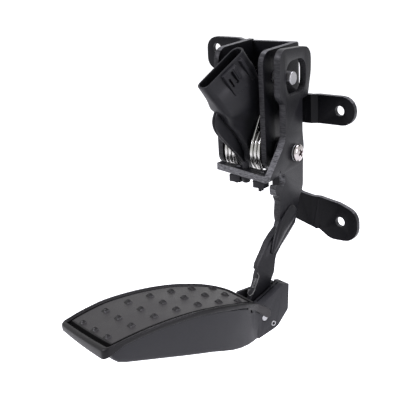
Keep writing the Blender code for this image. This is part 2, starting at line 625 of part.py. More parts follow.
def coil_path(start_x, seat_x, seat_z, steps=20):
    """The wire from the hole in the back plate, round the coil and under the flange into its seat."""
    leave = math.radians(COIL_LEAVE_DEG)
    total = leave + 2 * math.pi * COIL_TURNS + math.radians(15)
    start = Vector((start_x, -COIL_R * math.cos(leave), COIL_R * math.sin(leave)))
    rise = Vector((0.0, math.sin(leave), math.cos(leave)))
    knee = start + rise * ((LEG_Z - start.z) / rise.z)
    leg = bent([Vector((start_x, PLATE_FRONT + SHEET * 0.6, LEG_Z)), knee, start], 0.004)
    count = int(steps * total / (2 * math.pi))
    coil = []
    for k in range(1, count + 1):
        turn = leave - total * k / count
        x = start_x + COIL_PITCH * total * k / count / (2 * math.pi)
        coil.append(Vector((x, -COIL_R * math.cos(turn), COIL_R * math.sin(turn))))
    last = coil[-1]
    low = Vector((last.x, last.y + (last.z - seat_z) * math.tan(math.radians(15)), seat_z))
    front = Vector((last.x, seat_y(seat_x), seat_z))
    hook = bent([last, low, front, Vector((seat_x - 0.002, front.y, seat_z))], 0.003)
    return leg, coil, hook[1:]


def bent(corners, radius, steps=5):
    """A path through corners with its bends rounded."""
    path = [corners[0]]
    for before, here, after in zip(corners, corners[1:], corners[2:]):
        to_before = (before - here).normalized()
        to_after = (after - here).normalized()
        half = to_before.angle(to_after) / 2
        reach = radius / math.tan(half)
        centre = here + (to_before + to_after).normalized() * (radius / math.sin(half))
        start = here + to_before * reach - centre
        end = here + to_after * reach - centre
        for k in range(steps + 1):
            path.append(centre + start.normalized().slerp(end.normalized(), k / steps) * start.length)
    path.append(corners[-1])
    return path


def flange_under(x):
    return flange_top(x) - FLANGE_SHEET / math.cos(math.radians(FLANGE_TILT_DEG))


def return_springs(parent, finish):
    for side, seat_x in SEATS:
        leg, coil, hook = coil_path(SPRING_START[side], seat_x, flange_under(seat_x) - SEAT_WIRE_DROP)
        swept("return_spring_" + side, parent, finish, leg + coil + hook, WIRE_R)


def leg_rooms(parent, bracket, housing):
    """Holes in the back plate for the springs' legs, and the housing's groove beside the right one."""
    for side in ("left", "right"):
        x = SPRING_START[side]
        cut(bracket, turned_y("leg_hole_" + side, parent, x, LEG_Z, WIRE_R + TOUCH, PLATE_FRONT - SHEET,
                              PLATE_REAR + SHEET))
    leg = coil_path(SPRING_START["right"], SEATS[1][1], -0.02)[0]
    cut(housing, swept("leg_groove", parent, None, leg, WIRE_R + 0.0006, 10))


def turned_y(name, parent, x, z, radius, low, high):
    return prism(name, parent, None, circle(x, z, radius, 16), 'Y', low, high)


def box(name, parent, finish, low, high, round_r=0.0):
    outline = rounded([(low[0], low[1], round_r), (high[0], low[1], round_r), (high[0], high[1], round_r),
                       (low[0], high[1], round_r)], 3)
    return prism(name, parent, finish, outline, 'Z', low[2], high[2])


def seats(parent, finish):
    """Clips under the flange that hold the springs' moving ends, and the peg between them."""
    for side, x in SEATS:
        y = seat_y(x)
        top = flange_under(x) - 0.0006
        block = box("spring_seat_" + side, parent, finish, (x - SEAT_HALF, y - 0.0040, top - SEAT_HEIGHT),
                    (x + SEAT_HALF, y + 0.0040, top), 0.0008)
        weld(block, turned_z("seat_stem_" + side, parent, x, y, SEAT_STEM_R, top - 0.001, flange_top(x) - 0.0008))
        drop = SEAT_LEGS[side]
        for k, shift in (("front", -0.0018), ("rear", 0.0010)):
            weld(block, box("seat_leg_" + side + k, parent, None, (x - 0.0012, y + shift, top - SEAT_HEIGHT - drop),
                            (x + 0.0012, y + shift + 0.0008, top - SEAT_HEIGHT + 0.0004)))
        wire = (y, flange_under(x) - SEAT_WIRE_DROP)
        cut(block, turned("seat_bore_" + side, parent, None,
                          [(x - 2 * SEAT_HALF, WIRE_R + TOUCH), (x + SEAT_HALF - 0.0016, WIRE_R + TOUCH)], wire, 16))
    y = seat_y(PEG_X)
    low = flange_under(PEG_X) - TOUCH
    high = flange_top(PEG_X) + TOUCH + 0.0003
    rings = []
    for z, radius in ((low - 0.0050, 0.0012), (low - 0.0044, 0.0026), (low - 0.0018, 0.0036), (low - 0.0003, 0.0036),
                      (low - 0.0003, PEG_R), (high + 0.0002, PEG_R), (high + 0.0002, 0.0026), (high + 0.0040, 0.0024),
                      (high + 0.0044, 0.0020)):
        rings.append([(PEG_X + a, y + b, z) for a, b in circle(0, 0, radius, 16)])
    loft("flange_peg", parent, finish, rings)


def turned_z(name, parent, x, y, radius, low, high):
    return prism(name, parent, None, circle(x, y, radius, 16), 'Z', low, high)


def drums(parent, finish):
    """Plastic spools on the shaft that keep the coils centred."""
    radius = COIL_R - WIRE_R - 0.0006
    left = LEFT_INNER + 2 * TOUCH
    right = RIGHT_INNER - 2 * TOUCH
    inner = SHAFT_R + RUN
    tube("spring_drum_left", parent, finish, left, COVER_AT - 0.0002, inner, radius)
    tube("spring_drum_right", parent, finish, HUB_RIGHT + TOUCH, right, inner, radius)


RIM_YAW = math.radians(13.0)
RIM_SHEET = 0.0018
COVER_AT = -0.0397             # the cover's left face at the front of the coil
COVER_AT_Y = -0.0180
RIM_OUTLINE = [(-0.0360, 0.0345, 0.002), (-0.0394, 0.0272, 0.004), (-0.0382, 0.0200, 0.004),
               (-0.0326, 0.0128, 0.006), (-0.0258, 0.0060, 0.010), (-0.0184, -0.0018, 0.010),
               (-0.0118, -0.0110, 0.006), (-0.0060, -0.0166, 0.005), (0.0060, -0.0166, 0.006),
               (0.0150, -0.0090, 0.008), (0.0168, 0.0040, 0.010), (0.0120, 0.0200, 0.012),
               (0.0010, 0.0320, 0.010), (-0.0100, 0.0345, 0.006)]


def cover_left(y):
    return COVER_AT + (y - COVER_AT_Y) * math.tan(RIM_YAW)


def rim_plate(name, parent, finish, start, thick, grow=0.0):
    """A plate with the sensor's outline, parallel with its yawed left side."""
    outline = [(y + math.copysign(grow, y + 0.010), z + math.copysign(grow, z - 0.012), r)
               for y, z, r in RIM_OUTLINE]
    plate = prism(name, parent, finish, rounded(outline, 3), 'X', start, start + thick)
    for vert in plate.data.vertices:
        vert.co.x += cover_left(vert.co.y)
    return plate


def section(centre, length, half, yaw, tilt, corner=0.3, steps=4):
    """A rounded rectangle across the sensor: long side at yaw and tilt, its centre given."""
    yaw = math.radians(yaw)
    tilt = math.radians(tilt)
    long = Vector((math.sin(yaw) * math.cos(tilt), math.cos(yaw) * math.cos(tilt), math.sin(tilt)))
    wide = Vector((math.cos(yaw), -math.sin(yaw), 0.0))
    round_r = 2 * half * corner
    outline = rounded([(-length, -half, round_r), (length, -half, round_r), (length, half, round_r),
                       (-length, half, round_r)], steps)
    return [Vector(centre) + long * p[0] + wide * p[1] for p in outline]


MOUTH = Vector((-0.0395, -0.0340, 0.0643))
MOUTH_OUT = Vector((-0.191, -0.525, 0.829)).normalized()


def connector_section(back, length, half, corner=0.3):
    return section(MOUTH - MOUTH_OUT * back, length, half, SENSOR_YAW_DEG, CONNECTOR_TILT_DEG, corner)


def sensor(parent, plastic, contact):
    half_long = CONNECTOR_LENGTH / 2
    half_wide = CONNECTOR_WIDTH / 2
    hub_x = HUB_RIGHT - HUB_SOLID / 2
    housing = loft("sensor_housing", parent, plastic, [
        *(section((hub_x, 0.0, -HUB_R * math.sin(turn)), HUB_R * math.cos(turn), HUB_SOLID / 2, 0, 0)
          for turn in map(math.radians, (77, 63, 45, 22, 0))),
        section((hub_x - 0.0001, -0.0030, 0.0080), HUB_R + 0.0009, HUB_SOLID / 2, 6, 0),
        section((-0.0318, -0.0070, 0.0160), 0.0180, 0.0036, 10, 0),
        section((-0.0328, -0.0120, 0.0240), 0.0190, 0.0046, 13, 4),
        section((-0.0315, -0.0185, 0.0335), 0.0180, 0.0070, 13, 12),
        section((-0.0352, -0.0215, 0.0430), 0.0200, 0.0100, 18, 28),
        connector_section(0.0150, half_long + 0.0002, 0.0088),
        connector_section(0.0110, half_long, half_wide + 0.0002),
        connector_section(0.0, half_long, half_wide),
    ])
    cut(housing, rim_plate("cover_room", parent, None, -0.0200, 0.0200 + RIM_SHEET + TOUCH, 0.0006))
    weld(housing, rim_plate("housing_rim", parent, None, RIM_SHEET + TOUCH, RIM_SHEET, 0.0))
    cut(housing, loft("socket", parent, None, [
        connector_section(CONNECTOR_DEPTH, half_long - CONNECTOR_WALL, half_wide - CONNECTOR_WALL, 0.24),
        connector_section(-0.004, half_long - CONNECTOR_WALL, half_wide - CONNECTOR_WALL, 0.24)]))
    coil_room = COIL_R + WIRE_R + 0.0012
    cut(housing, turned("right_coil_room", parent, None, [(HUB_RIGHT, coil_room), (RIGHT_OUTER, coil_room)]))
    cut(housing, turned("left_coil_room", parent, None, [(LEFT_OUTER, coil_room), (COVER_AT - TOUCH, coil_room)]))
    rotor_left = cover_left(ROTOR_R) + RIM_SHEET + TOUCH
    cut(housing, turned("rotor_room", parent, None, [(-0.0450, ROTOR_R + 0.0004), (HUB_RIGHT + 0.002, ROTOR_R + 0.0004)]))
    cover = rim_plate("sensor_cover", parent, plastic, 0.0, RIM_SHEET)
    cut(cover, turned("cover_bore", parent, None, [(-0.0450, SHAFT_R + 0.0007), (HUB_RIGHT, SHAFT_R + 0.0007)]))
    tube("sensor_rotor", parent, plastic, rotor_left, HUB_RIGHT - TOUCH, SHAFT_R + TOUCH, ROTOR_R)
    yaw = math.radians(SENSOR_YAW_DEG)
    tilt = math.radians(CONNECTOR_TILT_DEG)
    long = Vector((math.sin(yaw) * math.cos(tilt), math.cos(yaw) * math.cos(tilt), math.sin(tilt)))
    wide = MOUTH_OUT.cross(long)
    floor = MOUTH - MOUTH_OUT * (CONNECTOR_DEPTH - TOUCH)
    comb = [(-TERMINAL_PITCH * TERMINALS / 2, 0.0)]
    for k in range(TERMINALS):
        middle = TERMINAL_PITCH * (k - (TERMINALS - 1) / 2)
        comb += [(middle - TERMINAL_HALF, TERMINAL_BAR), (middle - TERMINAL_HALF, TERMINAL_TALL),
                 (middle + TERMINAL_HALF, TERMINAL_TALL), (middle + TERMINAL_HALF, TERMINAL_BAR)]
    comb.append((TERMINAL_PITCH * TERMINALS / 2, 0.0))
    rings = [[floor + long * p[0] + MOUTH_OUT * p[1] + wide * side for p in comb]
             for side in (-TERMINAL_HALF / 2, TERMINAL_HALF / 2)]
    loft("connector_terminals", parent, contact, rings)
    return housing


def tread_height(along):
    """Height of the tread's top over the hinge axis, a crown with a radius on each side."""
    away = along + TREAD_CROWN_AT
    return TREAD_CROWN - away * away / (2 * (TREAD_FRONT_R if away < 0 else TREAD_REAR_R))


TREAD_SIDE = [(-0.1250, 0.0300), (-0.1125, 0.0300), (-0.1000, 0.0300), (-0.0850, 0.0300), (-0.0700, 0.0297),
              (-0.0550, 0.0290), (-0.0430, 0.0275), (-0.0320, 0.0251), (-0.0230, 0.0223), (-0.0170, 0.0200),
              (-0.0125, 0.0176), (-0.0098, 0.0150), (-0.0091, 0.0110), (-0.0090, 0.0000)]


def plan(inset):
    """Half the tread's outline moved inwards: a slightly bowed front, a round corner and the tapering side."""
    front = TREAD_FRONT + inset * RIM_AHEAD
    side = TREAD_HALF - inset
    corner = max(TREAD_CORNER - inset, 0.0006)
    moved = [(front - TREAD_BOW, 0.0), (front - 0.6 * TREAD_BOW, 0.5 * side), (front, side - corner)]
    for degrees in (30, 60, 90):
        turn = math.radians(degrees)
        moved.append((front + corner * (1 - math.cos(turn)), side - corner * (1 - math.sin(turn))))
    for i, (a, b) in enumerate(TREAD_SIDE):
        before = Vector(TREAD_SIDE[max(i - 1, 0)])
        after = Vector(TREAD_SIDE[min(i + 1, len(TREAD_SIDE) - 1)])
        along = (after - before).normalized()
        if i == len(TREAD_SIDE) - 1:
            along = Vector((0.0, -1.0))
        moved.append((a + along.y * inset, b - along.x * inset))
    return [(a, max(b, 0.0)) for a, b in moved]


def stacked(name, parent, finish, rings):
    """Skin symmetric rings of half outlines [(side, along, up)], closed with strips across."""
    work = bmesh.new()
    rows = []
    for ring in rings:
        right = [work.verts.new(p) for p in ring]
        left = [work.verts.new((-p[0], p[1], p[2])) for p in ring[1:-1]]
        rows.append((right, [right[0], *left, right[-1]]))
    for (right, left), (next_right, next_left) in zip(rows, rows[1:]):
        for i in range(len(right) - 1):
            work.faces.new((right[i], right[i + 1], next_right[i + 1], next_right[i]))
            work.faces.new((left[i + 1], left[i], next_left[i], next_left[i + 1]))
    for right, left in (rows[0], rows[-1]):
        for i in range(len(right) - 1):
            corners = [right[i], right[i + 1], left[i + 1], left[i]]
            unique = list(dict.fromkeys(corners))
            if len(unique) > 2:
                work.faces.new(unique)
    return from_bmesh(name, work, parent, finish)


def stud_rows():
    """Places of the rows of studs, counted until the tread's rear end is near; the pitch shrinks a little."""
    places = []
    along = TREAD_FRONT + STUD_FIRST
    while along <= TREAD_SIDE[-1][0] - STUD_LAST:
        places.append(along)
        along = TREAD_FRONT + STUD_FIRST + len(places) * STUD_PITCH * (1 - 0.006 * len(places))
    return places


def tread_depth(along):
    """Thickness of the tread's edge, which grows into a lip at the front."""
    share = max(0.0, (TREAD_LIP_FROM - along) / (TREAD_LIP_FROM - TREAD_FRONT))
    return TREAD_THICK + (TREAD_LIP - TREAD_THICK) * share


def skew(mesh):
    """Run the pad's front end forward towards its right side."""
    for vert in mesh.vertices:
        share = min(1.0, max(0.0, (TREAD_LIP_FROM - vert.co.y) / (TREAD_LIP_FROM - TREAD_FRONT)))
        vert.co.y -= TREAD_SKEW * share * vert.co.x


def pad_tread(parent, finish):
    rings = []
    for inset, lower, rise in ((0.0012, 1.0, 0.0), (0.0002, 1.0, 0.0008), (0.0, 0.0, RIM_HEIGHT - 0.0016),
                               (0.0007, 0.0, RIM_HEIGHT - 0.0003), (0.0014, 0.0, RIM_HEIGHT),
                               (RIM_WIDTH - 0.0002, 0.0, RIM_HEIGHT - 0.0002),
                               (RIM_WIDTH + 0.0003, 0.0, -GROOVE_DEPTH),
                               (RIM_WIDTH + GROOVE_WIDTH, 0.0, -GROOVE_DEPTH),
                               (RIM_WIDTH + GROOVE_WIDTH + 0.0003, 0.0, 0.0)):
        rings.append([(b, a, tread_height(a) - lower * tread_depth(a) + rise) for a, b in plan(inset)])
    tread = stacked("pad_tread", parent, finish, rings)
    skew(tread.data)
    work = bmesh.new()
    for along in stud_rows():
        room = max((b for a, b in plan(RIM_WIDTH + GROOVE_WIDTH) if abs(a - along) < 0.008), default=0.0)
        spread = min(STUD_SPREAD, room - STUD_MARGIN)
        for k in (-1, 0, 1):
            centre = Vector((k * spread, along, tread_height(along)))
            rows = []
            for up, size in ((-0.0012, 1.0), (STUD_HEIGHT, 0.80)):
                rows.append([work.verts.new((centre.x + a, centre.y + b, centre.z + up))
                             for a, b in circle(0, 0, STUD_SIZE / 2 * size, 8)])
            for one, two in zip(rows, rows[1:]):
                for i in range(8):
                    j = (i + 1) % 8
                    work.faces.new((one[i], one[j], two[j], two[i]))
            work.faces.new(rows[0][::-1])
            work.faces.new(rows[-1])
    weld(tread, from_bmesh("studs", work, parent, None))
    for side, face in (("near", BLOCK_NEAR + TOUCH), ("far", -BLOCK_FAR - TOUCH - LUG_THICK)):
        weld(tread, prism("tread_lug_" + side, parent, None, rounded(LUG), 'X', face, face + LUG_THICK))
    return tread


LUG = [(-0.0125, 0.0098, 0.0), (-0.0062, 0.0062, 0.002), (0.0012, 0.0031, 0.001), (0.0052, 0.0022, 0.0014),
       (0.0058, 0.0062, 0.0024), (-0.0040, 0.0102, 0.004), (-0.0125, 0.0128, 0.0)]
LUG_ROOM = [(-0.0160, 0.0088, 0.0), (-0.0128, 0.0088, 0.0), (-0.0066, 0.0054, 0.002), (0.0010, 0.0022, 0.001),
            (0.0062, 0.0012, 0.0), (0.0062, 0.0240, 0.0), (-0.0160, 0.0240, 0.0)]


def pad_base(parent, finish):
    """The pad's body: a lofted shell under the tread that narrows to the block around the hinge."""
    rings = []
    for along, half, low in ((-0.1334, 0.0258, 0.0128), (-0.1322, 0.0268, 0.0102), (-0.1276, 0.0276, 0.0074),
                             (-0.1210, 0.0278, 0.0057), (-0.1065, 0.0278, 0.0029), (-0.0925, 0.0278, 0.0002),
                             (-0.0785, 0.0278, -0.0024), (-0.0650, 0.0274, -0.0050), (-0.0530, 0.0267, -0.0073),
                             (-0.0430, 0.0251, -0.0092), (-0.0350, 0.0229, -0.0107), (-0.0270, 0.0200, -0.0120),
                             (-0.0190, 0.0168, -0.0131), (-0.0125, 0.0138, -0.0138), (-0.0085, 0.0118, -0.0139),
                             (-0.0052, BLOCK_NEAR, -0.0134)):
        top = tread_height(along) - tread_depth(along) - 2 * TOUCH
        edge = min(0.0030, half * 0.2)
        share = max(0.0, 1 + (along + 0.0052) / 0.0298)
        far = half - share * (BLOCK_NEAR - BLOCK_FAR)
        rings.append([(s, along, z) for s, z in rounded([
            (-far, top, 0.0003), (half, top, 0.0003), (half - 0.0006, low, edge), (-far + 0.0006, low, edge)], 4)])
    base = loft("pad_base", parent, finish, rings)
    skew(base.data)
    under_line = [(-0.0070, -0.0134, 0.001), (0.0075, -0.0100, 0.006), (0.0118, -0.0086, 0.004), (0.0214, 0.0, 0.003)]
    front_line = [(-0.0042, 0.0066, 0.0), (-0.0070, 0.0030, 0.0)]
    near_top = [(BLOCK_REAR, BLOCK_TOP - 0.0008, 0.0010), (0.0173, BLOCK_TOP, 0.0015), (-0.0046, 0.0093, 0.0010)]
    far_top = [(BLOCK_REAR, BLOCK_TOP - 0.0033, 0.0010), (-0.0046, 0.0150, 0.0010)]
    weld(base, prism("block_near", parent, None, rounded(under_line + near_top + front_line, 4), 'X', 0.0, BLOCK_NEAR))
    weld(base, prism("block_far", parent, None, rounded(under_line + far_top + front_line, 4), 'X', -BLOCK_FAR, 0.0001))
    for side, low, high in (("near", BLOCK_NEAR, 0.0300), ("far", -0.0300, -BLOCK_FAR)):
        cut(base, prism("lug_room_" + side, parent, None, rounded(LUG_ROOM), 'X', low, high))
    cut(base, prism("foot_pocket", parent, None, rounded([
        (-0.0092, -0.0098, 0.003), (0.0085, -0.0088, 0.003), (POCKET_REAR, 0.0010, 0.004), (POCKET_REAR, 0.0300, 0.0),
        (-0.0082, 0.0300, 0.0), (-0.0082, 0.0100, 0.0), (-0.0092, 0.0070, 0.001)]),
        'X', -POCKET_FAR, POCKET_NEAR))
    cut(base, box("rear_notch", parent, None, (-0.0034, POCKET_REAR - 0.001, 0.0150), (0.0002, BLOCK_REAR + 0.001, 0.0300)))
    for low, high, top in ((-0.0020, 0.0128, 0.0105), (0.0146, 0.0208, 0.0200)):
        floor = top - RIB_SLOT_DEEP
        cut(base, prism("rib_slot_%d" % (low * 1e4), parent, None, [
            (low, floor), (high, floor + (high - low) * 0.5), (high, 0.03), (low, 0.03)],
            'X', RIB_SLOT_AT - RIB_SLOT / 2, RIB_SLOT_AT + RIB_SLOT / 2))
    for name, a, b, radius in (("hinge", 0.0, 0.0, HINGE_PIN_R), ("roll", *ROLL_AT, ROLL_PIN_R)):
        cut(base, prism(name + "_bore", parent, None, circle(a, b, radius + TOUCH, 20), 'X', -2 * BLOCK_NEAR,
                        2 * BLOCK_NEAR))
    return base


ROLL_AT = (0.0075, -0.0064)


def pad_pins(parent, steel):
    left = -BLOCK_FAR - 0.0006
    right = BLOCK_NEAR + 0.0006
    turned("pad_hinge_pin", parent, steel, [(left, HINGE_PIN_R - 0.0004), (left + 0.0004, HINGE_PIN_R),
                                            (right - 0.0004, HINGE_PIN_R), (right, HINGE_PIN_R - 0.0004)], sides=20)
    tube("pad_roll_pin", parent, steel, left, right, ROLL_PIN_BORE, ROLL_PIN_R, ROLL_AT, 20)


def pad_spring(parent, finish):
    """A close coil along the foot's front edge, hooked under the foot's step and in the pocket's front wall."""
    top = Vector((0.0, 0.0004, 0.0279))
    down = Vector((0.0, -0.343, -0.939)).normalized()
    ahead = Vector((0.0, -0.939, 0.343)).normalized()
    path = [Vector((0.0, 0.0029, 0.0298)), Vector((0.0, 0.0016, 0.0298))]
    count = PAD_COIL_TURNS * 9
    for k in range(count + 1):
        turn = 2 * math.pi * k / 9
        along = PAD_COIL_PITCH * k / 9
        path.append(top + down * along + ahead * (-PAD_COIL_R * math.cos(turn))
                    + Vector((PAD_COIL_R * math.sin(turn), 0.0, 0.0)))
    last = path[-1]
    path += [last + down * 0.0016, Vector((0.0, -0.0062, 0.0118)), Vector((0.0, -0.0078, 0.0100))]
    swept("pad_return_spring", parent, finish, path, PAD_WIRE_R, 6)


def build():
    for old in list(bpy.data.objects):
        bpy.data.objects.remove(old)
    black = material("black_coat", (0.018, 0.018, 0.020), 0.42)
    steel = material("plain_steel", (0.46, 0.46, 0.47), 0.35, 1.0)
    bright = material("zinc_steel", (0.72, 0.72, 0.73), 0.22, 1.0)
    plastic = material("black_plastic", (0.012, 0.012, 0.013), 0.50)
    rubber = material("tread_rubber", (0.030, 0.028, 0.028), 0.72)
    contact = material("contact_metal", (0.60, 0.55, 0.42), 0.35, 1.0)
    datum = empty("mount_datum", None, (0.0, 0.0, 0.0))
    pivot = empty("pivot_axis", datum, (DATUM_INBOARD - STUD_X, -MOUNT_DEPTH, -UPPER_EAR_Z))
    pad = empty("pad_axis", pivot, HINGE, -TWIST)
    bracket = mount_bracket(pivot, black)
    stop_pin(pivot, steel)
    pivot_line(pivot, pivot, steel, plastic, bright)
    pedal_arm(pivot, black)
    seats(pivot, plastic)
    drums(pivot, plastic)
    housing = sensor(pivot, plastic, contact)
    leg_rooms(pivot, bracket, housing)
    return_springs(pivot, bright)
    pad_tread(pad, rubber)
    pad_base(pad, plastic)
    pad_pins(pad, steel)
    bush = HINGE_PIN_R + TOUCH
    tube("pad_hinge_bush", pad, plastic, -0.0029, 0.0029, bush, bush + 0.0009, sides=20)
    pad_spring(pad, bright)


build()
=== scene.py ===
# %% [markdown]
# This lesson dresses a hanging accelerator pedal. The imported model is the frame: its size, its pieces and
# its joints are settled, so everything made here is fitted to it and moves with it.

# %% Load the frame
import json
import math

import bmesh
import bpy
import numpy as np
from mathutils import Matrix, Vector


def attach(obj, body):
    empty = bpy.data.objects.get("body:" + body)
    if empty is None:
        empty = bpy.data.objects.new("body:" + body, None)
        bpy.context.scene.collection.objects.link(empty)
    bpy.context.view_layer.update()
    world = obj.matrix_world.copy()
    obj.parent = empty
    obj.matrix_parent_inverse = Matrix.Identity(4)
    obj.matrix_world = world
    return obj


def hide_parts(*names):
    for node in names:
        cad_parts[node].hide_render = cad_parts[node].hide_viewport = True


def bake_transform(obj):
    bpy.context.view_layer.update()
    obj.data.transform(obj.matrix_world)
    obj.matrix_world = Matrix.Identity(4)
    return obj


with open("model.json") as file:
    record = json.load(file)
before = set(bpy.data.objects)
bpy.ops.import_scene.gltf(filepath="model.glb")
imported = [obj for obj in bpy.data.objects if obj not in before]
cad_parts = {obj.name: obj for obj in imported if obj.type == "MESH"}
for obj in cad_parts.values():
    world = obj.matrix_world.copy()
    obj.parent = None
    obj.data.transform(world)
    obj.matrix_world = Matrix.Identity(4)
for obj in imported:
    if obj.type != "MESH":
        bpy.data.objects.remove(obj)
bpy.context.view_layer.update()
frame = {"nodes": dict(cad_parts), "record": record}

# %% [markdown]
# The pedal is easiest to describe from its pivot, where the arm turns, and the pad from its own hinge, which
# is yawed with it. Two small functions turn such coordinates into the frame's own.

# %% Two places to measure from
PIVOT = np.array([-0.0114, -0.0307, -0.02675])
HINGE = np.array([-0.0047, -0.0526, -0.1050])
YAW = math.radians(20.0)
PAD_TURN = np.array([[math.cos(YAW), -math.sin(YAW), 0.0], [math.sin(YAW), math.cos(YAW), 0.0], [0.0, 0.0, 1.0]])
BRACKET, ARM, PAD = "bracket_assembly", "arm_assembly", "pad_assembly"


def from_pivot(points):
    """Add the pivot's place to points measured from it."""
    return np.asarray(points, float) + PIVOT


def from_hinge(points):
    """Turn (side, along, up) by the pad's yaw about the vertical and add the hinge's place."""
    return np.asarray(points, float) @ PAD_TURN + HINGE + PIVOT


# %% [markdown]
# The camera stands to the right of the driver's seat, a little above the pivot. A lens of about 104 mm on a
# 36 mm sensor gives the same slight perspective as the photograph.

# %% The camera
right = Vector((math.cos(math.radians(35.3)), math.sin(math.radians(35.3)), 0.0))
tilt = math.radians(17.3)
ahead = Vector((-right.y * math.cos(tilt), right.x * math.cos(tilt), -math.sin(tilt)))
up = right.cross(ahead)
roll = math.radians(-2.2)
rolled_right = right * math.cos(roll) + up * math.sin(roll)
rolled_up = up * math.cos(roll) - right * math.sin(roll)
camera_data = bpy.data.cameras.new("camera")
camera_data.sensor_width = 36.0
camera_data.lens = 36.0 * 1200.0 / 416.0
camera = bpy.data.objects.new("camera", camera_data)
bpy.context.collection.objects.link(camera)
camera.rotation_mode = "QUATERNION"
camera.rotation_quaternion = Matrix((rolled_right, rolled_up, -ahead)).transposed().to_quaternion()
camera.location = Vector(from_pivot([0.4273, -0.7138, 0.2193]))
bpy.context.scene.camera = camera
bpy.context.scene.view_settings.view_transform = "Standard"
print("camera at", [round(v, 3) for v in camera.location])

# %% [markdown]
# The part is photographed on pure white. The world is white for the camera and in reflections, so bright
# metal mirrors it, while the light that it gives the black paint stays low. Three soft lamps do the rest.

# %% World and lamps
def link_all(tree, pairs):
    """Join each pair of sockets."""
    for a, b in pairs:
        tree.links.new(a, b)


def any_ray(tree, names):
    """A value that is 1 for each named kind of ray."""
    path = tree.nodes.new("ShaderNodeLightPath")
    total = path.outputs[names[0]]
    for name in names[1:]:
        either = tree.nodes.new("ShaderNodeMath")
        either.operation = "MAXIMUM"
        link_all(tree, ((total, either.inputs[0]), (path.outputs[name], either.inputs[1])))
        total = either.outputs[0]
    return total


world = bpy.data.worlds.new("studio")
bpy.context.scene.world = world
world.use_nodes = True
nodes = world.node_tree.nodes
nodes.clear()
seen = nodes.new("ShaderNodeBackground")
seen.inputs["Color"].default_value = (1.0, 1.0, 1.0, 1.0)
fill = nodes.new("ShaderNodeBackground")
fill.inputs["Color"].default_value = (0.95, 0.97, 1.0, 1.0)
fill.inputs["Strength"].default_value = 0.45
mix = nodes.new("ShaderNodeMixShader")
out = nodes.new("ShaderNodeOutputWorld")
link_all(world.node_tree, (
    (any_ray(world.node_tree, ("Is Camera Ray", "Is Glossy Ray", "Is Transmission Ray")), mix.inputs[0]),
    (fill.outputs[0], mix.inputs[1]), (seen.outputs[0], mix.inputs[2]), (mix.outputs[0], out.inputs["Surface"])))


def lamp(name, place, target, size, power):
    """A square area lamp at place that looks at target."""
    data = bpy.data.lights.new(name, "AREA")
    data.size = size
    data.energy = power
    data.color = (1.0, 0.975, 1.09)
    made = bpy.data.objects.new(name, data)
    bpy.context.collection.objects.link(made)
    made.location = place
    made.rotation_euler = (Vector(target) - Vector(place)).to_track_quat("-Z", "Y").to_euler()
    return made


middle = Vector((-0.03, -0.10, -0.04))
lamp("key", (-0.60, -0.75, 0.75), middle, 0.45, 11.0)
lamp("side", (0.95, -0.10, 0.25), middle, 0.45, 5.0)
lamp("top", (0.05, 0.35, 1.00), middle, 0.50, 8.0)

# %% The floor
FLOOR_Z = -0.22
floor_mesh = bpy.data.meshes.new("floor")
floor_mesh.from_pydata([(-3, -3, FLOOR_Z), (3, -3, FLOOR_Z), (3, 3, FLOOR_Z), (-3, 3, FLOOR_Z)], [], [(0, 1, 2, 3)])
floor = bpy.data.objects.new("floor", floor_mesh)
bpy.context.collection.objects.link(floor)
floor_paint = bpy.data.materials.new("floor_paint")
floor_paint.use_nodes = True
tree = floor_paint.node_tree
tree.nodes["Principled BSDF"].inputs["Base Color"].default_value = (0.92, 0.92, 0.92, 1.0)
tree.nodes["Principled BSDF"].inputs["Roughness"].default_value = 0.9
white = tree.nodes.new("ShaderNodeEmission")
white.inputs["Strength"].default_value = 0.62
both = tree.nodes.new("ShaderNodeAddShader")
floor_mix = tree.nodes.new("ShaderNodeMixShader")
link_all(tree, (
    (any_ray(tree, ("Is Camera Ray", "Is Glossy Ray", "Is Transmission Ray")), floor_mix.inputs[0]),
    (tree.nodes["Principled BSDF"].outputs[0], floor_mix.inputs[1]),
    (tree.nodes["Principled BSDF"].outputs[0], both.inputs[0]), (white.outputs[0], both.inputs[1]),
    (both.outputs[0], floor_mix.inputs[2]), (floor_mix.outputs[0], tree.nodes["Material Output"].inputs["Surface"])))
floor_mesh.materials.append(floor_paint)
print("floor at", FLOOR_Z)

# %% [markdown]
# Powder coat isn't quite smooth: it has a fine orange peel, and its sheen changes a little from place to
# place. Moulded plastic and rubber have a finer grain of the same kind. One node group makes them from two
# noises in object coordinates, and each finish sets its own values.

# %% A group for fine surface grain
def socket_group(name, inputs, outputs):
    """An empty node group with named inputs and outputs; gives the group and its two end nodes."""
    group = bpy.data.node_groups.new(name, "ShaderNodeTree")
    for title, kind in inputs:
        group.interface.new_socket(title, in_out="INPUT", socket_type="NodeSocket" + kind)
    for title, kind in outputs:
        group.interface.new_socket(title, in_out="OUTPUT", socket_type="NodeSocket" + kind)
    return group, group.nodes.new("NodeGroupInput"), group.nodes.new("NodeGroupOutput")


